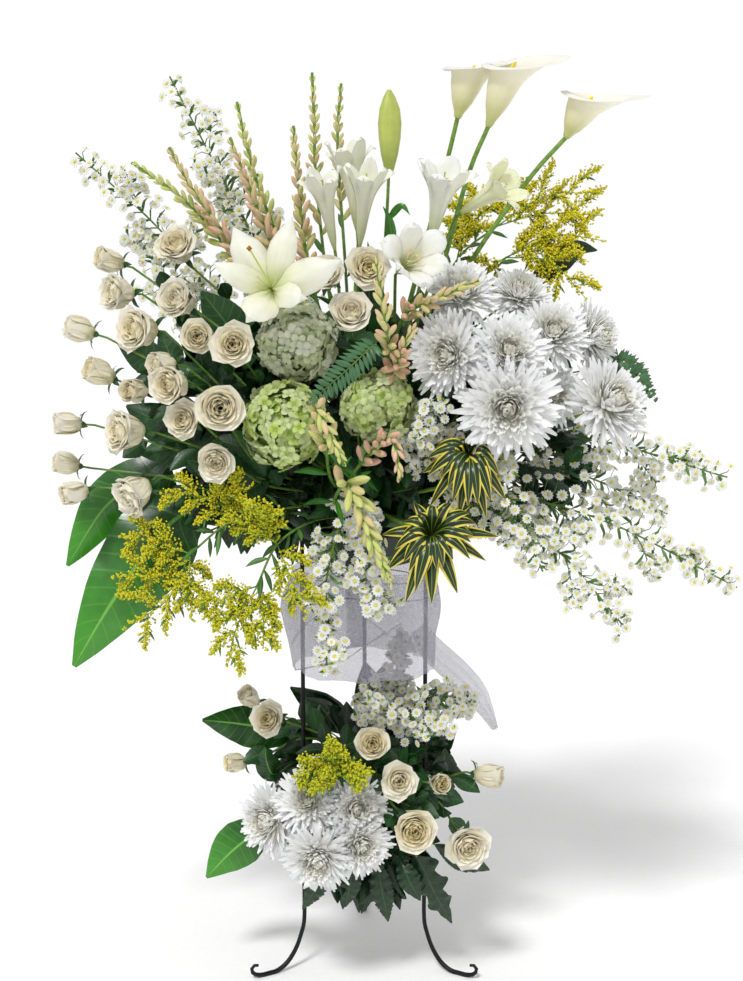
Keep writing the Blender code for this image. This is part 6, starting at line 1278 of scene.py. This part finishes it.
for name, where, rows, outline, slot, finish in (
    ("leaf_large_lower", ("upper", "left", -0.004, 0.770), (
        ([(-0.160, -0.02, 0.775)], [(-0.270, -0.040, 0.772), (-0.320, -0.055, 0.735), (-0.400, -0.085, 0.625),
                                    (-0.462, -0.090, 0.522)], 0.140, (0.1, -1.0, 0.3)),),
     HEART_LEAF, "leaf", broad_leaf),
    ("leaf_large_upper", ("upper", "left", 0.020, 0.778), (
        ([(-0.180, 0.02, 0.800)], [(-0.310, 0.015, 0.815), (-0.360, 0.010, 0.800), (-0.420, 0.005, 0.765),
                                   (-0.484, -0.005, 0.668)], 0.095, (0.1, -1.0, 0.2)),),
     HEART_LEAF, "leaf", broad_leaf),
    ("leaf_dark_right", ("upper", "top", 0.054, 0.052), (
        ([(0.150, 0.085, 1.02)], [(0.270, 0.105, 1.115), (0.315, 0.100, 1.155), (0.350, 0.095, 1.180),
                                  (0.382, 0.090, 1.176)], 0.044, (0.0, -1.0, 0.3)),),
     OVAL_LEAF, "dark_leaf", dark_leaf),
    ("leaf_lower_upper", ("lower", "left", 0.020, 0.340), (
        ([], [(-0.105, 0.010, 0.365), (-0.150, 0.000, 0.388), (-0.200, -0.010, 0.402), (-0.266, -0.025, 0.414)],
         0.072, (0.0, -1.0, 0.5)),
        ([(-0.110, 0.010, 0.335)], [(-0.140, -0.010, 0.318), (-0.152, -0.025, 0.322), (-0.160, -0.035, 0.345),
                                    (-0.162, -0.040, 0.372)], 0.042, (0.0, -1.0, 0.2))),
     OVAL_LEAF, "leaf", broad_leaf),
    ("leaf_lower_low", ("lower", "left", -0.035, 0.280), (
        ([(-0.115, -0.05, 0.275)], [(-0.150, -0.075, 0.262), (-0.185, -0.080, 0.235), (-0.220, -0.080, 0.205),
                                    (-0.258, -0.075, 0.162)], 0.076, (0.0, -1.0, 0.2)),),
     OVAL_LEAF, "leaf", broad_leaf),
):
    heap = Heap()
    # The tone lightens each large leaf towards its tip: painted sunlight on it. leaf_lower_upper gets only a little of
    # this painted light.
    painted_sunlit_tip = name != "leaf_lower_upper"
    for number, (via, spine, width, face) in enumerate(rows):
        add_stem(heap, where, [*via, spine[0]], number, 0.0022, 16)
        blade = leaf(spine, width, outline, face, 28, 15, 0.22, 0.06, 3.5, number, 0.10, 0.0008)
        heap.add(blade, finish, np.clip((1.5 if painted_sunlit_tip else 0.5) * blade["uv"][:, 1] - 0.35, 0, 1))
    heap.piece(name + "_blade", (name,))

draw = np.random.default_rng(93)
heap = Heap()
add_stem(heap, ("upper", "front", -0.008, 0.828), [(-0.012, -0.095, 0.95), (-0.016, -0.125, 1.020),
         (0.006, -0.215, 1.030), (0.018, -0.256, 1.042), (0.018, -0.270, 1.046)], 0, 0.0016, 24)
frond(heap, [(0.018, -0.270, 1.046), (0.010, -0.290, 1.042), (-0.025, -0.302, 1.010), (-0.080, -0.300, 0.962)],
      0.042, 20, draw)
heap.piece("fern_frond_leaflets", ("fern_frond",))
heap = Heap()
add_stem(heap, ("upper", "right", 0.024, 0.827), [(0.200, 0.010, 0.945), (0.340, -0.010, 0.985),
                                                  (0.375, -0.018, 0.985)], 0, 0.0018, 24)
for middle, end in (((0.415, -0.045, 0.962), (0.445, -0.040, 0.915)), ((0.410, -0.030, 1.000), (0.455, -0.030, 0.968)),
                    ((0.420, -0.055, 0.985), (0.460, -0.060, 0.945)), ((0.400, -0.050, 0.950), (0.415, -0.055, 0.905)),
                    ((0.410, -0.010, 0.980), (0.458, -0.010, 0.945)),
                    ((0.400, -0.045, 1.005), (0.430, -0.050, 1.000))):
    frond(heap, [(0.375, -0.018, 0.985), middle, end], 0.038, 15, draw)
heap.piece("fern_tips_right_leaflets", ("fern_tips_right",))


def back_greens(name, where, start, tips, seed):
    """Broad dark leaves that close the back: each long leaf has smaller ones along its stalk."""
    draw = np.random.default_rng(seed)
    heap = Heap()
    start = np.array(start)
    for number, (tip, width) in enumerate(tips):
        tip = np.array(tip)
        bow = np.array([0.0, 0.026, 0.0])
        s = np.array([0.25, 0.5, 0.78])[:, None]
        rows = start + (tip - start) * s + bow * np.sin(math.pi * s)
        add_stem(heap, where, [rows[0]], number, 0.0018, 12)
        spine = [*rows, tip]
        heap.add(leaf(spine, width, OVAL_LEAF, (0.0, 1.0, 0.1), 16, 7, 0.25, 0.06, 4.0, number), dark_leaf,
                 draw.uniform(0, 0.8))
        for k in range(5):
            base = start + (tip - start) * draw.uniform(0.05, 0.5) + bow * 0.8
            aim = unit(tip - start + np.array([draw.uniform(-0.2, 0.2), 0.02, draw.uniform(-0.2, 0.2)]))
            end = base + 0.085 * unit(aim + draw.normal(size=3) * [0.5, 0.10, 0.5])
            heap.add(leaf([base, 0.5 * (base + end) + [0, 0.008, 0], end], 0.042, OVAL_LEAF, (0.0, 1.0, 0.1),
                          9, 5, 0.3, 0.06, 4.0, k), dark_leaf, draw.uniform(0, 0.9))
    heap.piece(name + "_leaves", (name,))


back_greens("greens_back", ("upper", "back", 0.0, 0.830), (0.0, 0.080, 0.83), (
    ((-0.230, 0.140, 0.985), 0.070), ((-0.130, 0.175, 1.120), 0.070), ((0.010, 0.190, 1.170), 0.075),
    ((0.140, 0.175, 1.110), 0.070), ((0.250, 0.140, 0.970), 0.070), ((-0.200, 0.160, 0.740), 0.070),
    ((0.030, 0.205, 0.690), 0.075), ((0.210, 0.165, 0.730), 0.070)), 94)
back_greens("greens_lower_back", ("lower", "back", 0.035, 0.320), (0.030, 0.075, 0.32), (
    ((-0.130, 0.150, 0.420), 0.060), ((0.000, 0.170, 0.460), 0.060), ((0.140, 0.150, 0.420), 0.060),
    ((-0.150, 0.130, 0.230), 0.060), ((0.060, 0.185, 0.200), 0.060), ((0.180, 0.120, 0.260), 0.060)), 95)

draw = np.random.default_rng(96)
heap = Heap()
where = ("lower", "front", 0.010, 0.268)
for number, (tip, width, start) in enumerate((
    ((0.039, -0.125, 0.108), 0.040, (0.020, -0.124, 0.215)), ((0.143, -0.095, 0.092), 0.042, (0.085, -0.118, 0.215)),
    ((-0.100, -0.105, 0.120), 0.036, (-0.050, -0.122, 0.215)),
     ((-0.030, -0.130, 0.135), 0.036, (-0.015, -0.124, 0.215)),
    ((0.205, -0.075, 0.175), 0.040, (0.115, -0.105, 0.230)), ((0.090, -0.140, 0.150), 0.036, (0.055, -0.124, 0.218)),
)):
    start, tip = np.array(start), np.array(tip)
    middle = 0.5 * (start + tip) + np.array([0.0, -0.012, 0.0])
    add_stem(heap, where, [(0.5 * start[0] + 0.005, -0.118, 0.262), start], number, 0.0018, 14)
    outline = LOBED_LEAF if number == 1 else OVAL_LEAF
    heap.add(leaf([start, middle, tip], 1.5 * width if number == 1 else width, outline, FRONT, 65, 9, 0.25, 0.10, 7.0,
                  number, 0.0, 0.0007, 0.22 if number in (0, 2) else 0.05), dark_leaf, 0.7)
heap.piece("greens_lower_front_leaves", ("greens_lower_front",))


def filler(name, centre, radii, count, length, width, keep, seed, finishes, where=None):
    """Leaves that fill the gaps: each starts inside an ellipsoid round the foam and reaches out through it
    in a direction drawn at random where keep allows it; the base of each is tied back by a short stalk.
    Where the ellipsoid stands off the foam, stems from it carry the stalks."""
    draw = np.random.default_rng(seed)
    heap = Heap()
    for number in range(6 if where else 0):
        add_stem(heap, where, [np.array(centre) + radii * (draw.uniform(-0.35, 0.35, 3) + [-0.6, 0, 0]),
                               np.array(centre) + radii * draw.uniform(-0.5, 0.5, 3)], number, 0.0018)
    centre, radii = np.array(centre), np.array(radii)
    made = 0
    while made < count:
        way = unit(draw.normal(size=3))
        if not keep(way):
            continue
        made += 1
        surface = centre + radii * way
        out = unit(way / radii * radii.min() + 0.35 * draw.normal(size=3))
        reach = length * draw.uniform(0.7, 1.2)
        base = surface - 0.55 * reach * out
        tip = surface + 0.45 * reach * out + np.array([0, 0, -0.10 * reach])
        face = unit(np.array([0.0, -1.0, 0.35]) + 0.6 * way + 0.3 * draw.normal(size=3))
        inner = centre + 0.35 * radii * way
        heap.add(swept([inner, 0.5 * (inner + base) + 0.004 * draw.normal(size=3), base], 0.0014, 4), stem_skin, 0.9)
        heap.add(leaf([base, 0.5 * (base + tip) + 0.10 * reach * np.array([0, -0.3, 1.0]), tip],
                      width * draw.uniform(0.75, 1.2), OVAL_LEAF, face, 10, 5, 0.3, 0.08, 4.0, draw.uniform(0, 6)),
                 finishes[made % len(finishes)], draw.uniform(0, 0.9))
    heap.piece(name, ())


filler("filler_leaves_upper", (-0.01, -0.020, 0.915), (0.235, 0.120, 0.155), 190, 0.085, 0.038,
       lambda way: way[1] < 0.55, 97, [dark_leaf, dark_leaf, rose_leaf])
filler("filler_leaves_lower", (0.0, -0.010, 0.325), (0.135, 0.105, 0.095), 130, 0.062, 0.028,
       lambda way: way[1] < 0.5, 98, [dark_leaf, dark_leaf, rose_leaf])

filler("filler_leaves_left", (-0.17, -0.045, 0.930), (0.150, 0.085, 0.125), 95, 0.085, 0.040,
       lambda way: way[1] < 0.55, 99, [dark_leaf, rose_leaf])
filler("filler_leaves_beneath", (-0.08, -0.075, 0.785), (0.190, 0.070, 0.055), 90, 0.080, 0.030,
       lambda way: way[1] < 0.4, 100, [dark_leaf, dark_leaf, rose_leaf])
filler("filler_leaves_right", (0.215, -0.055, 0.845), (0.135, 0.070, 0.085), 110, 0.070, 0.026,
       lambda way: way[1] < 0.5, 102, [dark_leaf, dark_leaf, rose_leaf], ("upper", "right", 0.020, 0.790))
filler("filler_leaves_hanging", (0.010, -0.075, 0.225), (0.095, 0.055, 0.090), 80, 0.062, 0.027,
       lambda way: way[2] < 0.3, 101, [dark_leaf])


# Stand: legs, rings, bowls and foam.

ROD_CIRCLE, ROD_RADIUS, FOOT_REACH, KNEE_Z = 0.114, 0.0034, 0.186, 0.085
FLAT = math.sin(math.pi / 3)
RING_CIRCLE = ROD_CIRCLE - ROD_RADIUS * FLAT - 0.003 - 0.0003
for word, angle in (("left", 210.0), ("right", 330.0), ("back", 90.0)):
    a = math.radians(angle)
    out = np.array([math.cos(a), math.sin(a), 0.0])
    bar = ROD_RADIUS * 1.22 * FLAT
    corners = np.array([(ROD_CIRCLE, 0.752), (ROD_CIRCLE, 0.42), (ROD_CIRCLE, 0.25), (ROD_CIRCLE, 0.14),
                        (ROD_CIRCLE + 0.0004, KNEE_Z), (ROD_CIRCLE + 0.005, KNEE_Z - 0.022),
                        (ROD_CIRCLE + 0.016, 0.036),
                        (ROD_CIRCLE + 0.032, 0.015), (FOOT_REACH - 0.022, bar + 0.001), (FOOT_REACH - 0.008, bar),
                        (FOOT_REACH + 0.008, bar), (FOOT_REACH + 0.020, bar + 0.004),
                        (FOOT_REACH + 0.026, bar + 0.012),
                        (FOOT_REACH + 0.022, bar + 0.019), (FOOT_REACH + 0.014, bar + 0.018)])
    path = smooth_path(corners[:, :1] * out + corners[:, 1:] * np.array([0.0, 0.0, 1.0]), 120)
    share = np.linspace(0, 1, 120)
    bars = ROD_RADIUS * np.interp(share, [0, 0.84, 0.90, 0.96, 1.0], [1.0, 1.0, 1.15, 1.1, 0.7])
    rod = swept(path, bars, 12)
    rod["points"][:, 2] = np.maximum(rod["points"][:, 2], 0.0)
    heap = Heap()
    heap.add(rod, painted_iron)
    heap.piece("leg_" + word + "_bar", ("leg_" + word,))

turn = np.linspace(0, math.tau, 96, endpoint=False)[:, None]
tilt = np.linspace(0, math.tau, 12, endpoint=False)[None, :]


def square(angle, profile):
    """Radius round a square with rounded corners: a superellipse of the tenth degree."""
    return (np.abs(np.cos(angle)) ** 10 + np.abs(np.sin(angle)) ** 10) ** -0.1 + 0 * profile[:, :1]


for word, z, half, top in (("upper", 0.735, 0.064, 0.865), ("lower", 0.245, 0.060, 0.360)):
    reach = RING_CIRCLE + 0.003 * np.cos(tilt)
    grid = np.stack([reach * np.cos(turn), reach * np.sin(turn), z + 0.003 * np.sin(tilt) + 0 * turn], -1)
    faces = grid_quads(97, 12, True) % (96 * 12)
    heap = Heap()
    heap.add(shape(grid, faces[..., ::-1]), painted_iron)
    heap.piece("ring_" + word + "_bar", ("ring_" + word,))
    rim = z + 0.003 * FLAT + 0.0003
    floor = rim - 0.055
    profile = [(0.002, floor - 0.002), (0.085, floor - 0.002), (0.091, floor + 0.001), (0.098, rim - 0.012),
               (0.098, rim), (0.1078, rim), (0.1085, rim + 0.0008), (0.1085, rim + 0.0022), (0.1078, rim + 0.003),
               (0.0985, rim + 0.003), (0.0960, rim - 0.001), (0.0960, rim - 0.012), (0.088, floor), (0.002, floor)]
    heap = Heap()
    heap.add(turned(profile, 64), moulded_bowl)
    heap.piece("bowl_" + word + "_shell", ("bowl_" + word,))
    sides = [(0.2 * half, floor + 0.0006), (0.98 * half, floor + 0.0006), (half, floor + 0.004), (half, top - 0.008),
             (0.97 * half, top - 0.002), (0.90 * half, top), (0.2 * half, top)]
    heap = Heap()
    heap.add(turned(sides, 72, square), wet_foam)
    heap.piece("foam_" + word + "_block", ("foam_" + word,))


# The net: one gathered sleeve round the rods and a tail that hangs at its right.

share = np.linspace(0, 1, 100)[:, None]
angle = np.linspace(0, math.tau * 1.04, 280)[None, :] + math.pi / 2
lap = np.clip((angle - math.pi / 2) / math.tau, 0, 1.04)
tuck = 0.022 * 0.5 * (1 - np.cos(3 * (angle - math.pi / 2)))
swell = 0.010 * np.sin(math.pi * np.minimum(1.0, 1.35 * (1 - share))) ** 2
left = 0.012 * np.maximum(0.0, -np.cos(angle)) * np.sin(math.pi * share)
inner = ROD_CIRCLE + ROD_RADIUS * FLAT + 0.0009
pleats = (np.sin(26 * angle + 2.6 * np.sin(7 * share + 2 * angle)) + 0.6 * np.sin(41 * angle - 4.0 * share))
radius = inner - tuck + swell + left + 0.0030 + 0.0011 * pleats * (0.35 + 0.65 * (1 - share)) + 0.0012 * lap
height = 0.502 + share * 0.170 + 0.004 * np.cos(2 * angle) * (1 - share) + 0.002 * np.sin(9 * angle) * (1 - share)
# Folds lie across it: along a line, the height runs back on itself in an S, three layers thick.
front = angle - 1.5 * math.pi
# Each row has the fold's height, and where it begins and ends round the front; 9.0 is past both ends.
fold_lines = (
    (0.537 + 0.074 * (front + 0.27), -0.42, 0.62),
    (0.512 + 0.040 * (front + 0.98), -1.25, -0.45),
    (0.634 + 0.004 * np.sin(2 * angle), -9.0, 9.0),
    (0.660 + 0.002 * np.cos(3 * angle), -9.0, 9.0),
    (0.600 - 0.090 * (front - 0.1), -0.1, 0.45),
    (0.575 + 0.12 * (front + 0.9), -1.2, -0.6),
)
for line, first, last in fold_lines:
    fade = np.clip((front - first) / 0.12, 0, 1) * np.clip((last - front) / 0.12, 0, 1)
    off = (height - line) / 0.0042
    radius = radius + 0.0012 * fade * off * np.exp(-0.5 * off**2)
    height = height - 0.0078 * fade * off * np.exp(-(off**2))
sleeve = np.stack([radius * np.cos(angle), radius * np.sin(angle), height], -1)
heap = Heap()
heap.add(thin_sheet(sleeve[:, ::-1], 0.0005), sheer_net)
net = heap.piece("net_sleeve", ("net_wrap",), 180.0)

spine = smooth_path([(0.090, 0.024, 0.556), (0.112, 0.030, 0.520), (0.145, 0.040, 0.486), (0.180, 0.048, 0.450),
                     (0.205, 0.048, 0.410), (0.222, 0.043, 0.377)], 50)
s = np.linspace(0, 1, 50)[:, None]
w = np.linspace(-1, 1, 41)[None, :]
half = 0.5 * np.interp(s, [0, 0.2, 0.45, 0.75, 1.0], [0.030, 0.044, 0.046, 0.038, 0.012])
folds = 0.0045 * np.sin(3.2 * math.pi * w + 2.0 * s) * (0.4 + 0.6 * s)
across = unit(np.cross(np.gradient(spine, axis=0), (0.2, -1.0, 0.2)))
tail = (spine[:, None] + across[:, None] * (half * w)[..., None]
        + np.array([0.1, -1.0, 0.1]) * (folds - 0.008 * np.abs(w) ** 2)[..., None])
heap = Heap()
heap.add(thin_sheet(tail, 0.0005), sheer_net)
drape = heap.piece("net_tail", (), 180.0)


# Studio.

# The picture's camera: its place in metres, how far it looks down in degrees, and its lens in millimetres.
CAMERA_PLACE, CAMERA_DIP, CAMERA_LENS = (-0.042, -2.552, 1.2), 8.93, 59.56
SUN_SPREAD, FILL_SIZE = math.radians(12.0), 2.4
WORLD_LIGHT, WORLD_SEEN = 0.64, 1.0

def studio():
    """A wide pale floor under a white world, soft lights and the camera of the picture."""
    across, depth = np.meshgrid(np.linspace(-12, 12, 9), np.linspace(-8, 16, 9))
    grid = np.stack([across, depth, 0 * across], -1)
    mesh = bpy.data.meshes.new("studio_floor")
    mesh.from_pydata(grid.reshape(-1, 3).tolist(), [], grid_quads(9, 9).reshape(-1, 4).tolist())
    mesh.shade_smooth()
    floor = bpy.data.objects.new("studio_floor", mesh)
    bpy.context.scene.collection.objects.link(floor)
    # Matt white paper.
    mesh.materials.append(grained_finish("studio_paper", "#FCFCFC", "#FFFFFF", 90.0, 0.95, depth=0.0))
    for name, place, aim, kind, power in (
        ("key", (-0.7, -1.7, 2.9), (0.0, 0.0, 0.6), "SUN", 1.9),
        ("fill", (2.4, -2.6, 1.6), (0.0, 0.0, 0.8), "AREA", 8.0),
    ):
        light = bpy.data.lights.new(name, kind)
        light.energy = power
        if kind == "SUN":
            light.angle = SUN_SPREAD
        else:
            light.size = FILL_SIZE
        lamp = bpy.data.objects.new(name, light)
        lamp.location = place
        way = unit(np.array(place) - np.array(aim))
        side = unit(np.cross((0, 0, 1), way))
        turn = np.eye(4)
        turn[:3, :3] = np.stack([side, np.cross(way, side), way], axis=1)
        turn[:3, 3] = place
        lamp.matrix_world = Matrix(turn.tolist())
        bpy.context.scene.collection.objects.link(lamp)
    world = bpy.data.worlds.new("studio")
    world.use_nodes = True
    world.node_tree.nodes["Background"].inputs["Color"].default_value = (1.0, 1.0, 1.0, 1.0)
    # The paper behind the flowers is white in the picture, and lights them a little less.
    ray = add(world.node_tree, "ShaderNodeLightPath")
    seen = add(world.node_tree, "ShaderNodeMapRange", {3: WORLD_LIGHT, 4: WORLD_SEEN},
               {0: ray.outputs["Is Camera Ray"]})
    world.node_tree.links.new(seen.outputs[0], world.node_tree.nodes["Background"].inputs["Strength"])
    bpy.context.scene.world = world
    bpy.context.scene.view_settings.view_transform = "Standard"
    lens = bpy.data.cameras.new("camera")
    lens.lens = CAMERA_LENS
    lens.sensor_fit = "VERTICAL"
    lens.sensor_height = 36.0
    camera = bpy.data.objects.new("camera", lens)
    camera.location = CAMERA_PLACE
    camera.rotation_euler = (math.radians(90.0 - CAMERA_DIP), 0.0, 0.0)
    bpy.context.scene.collection.objects.link(camera)
    bpy.context.scene.camera = camera


studio()
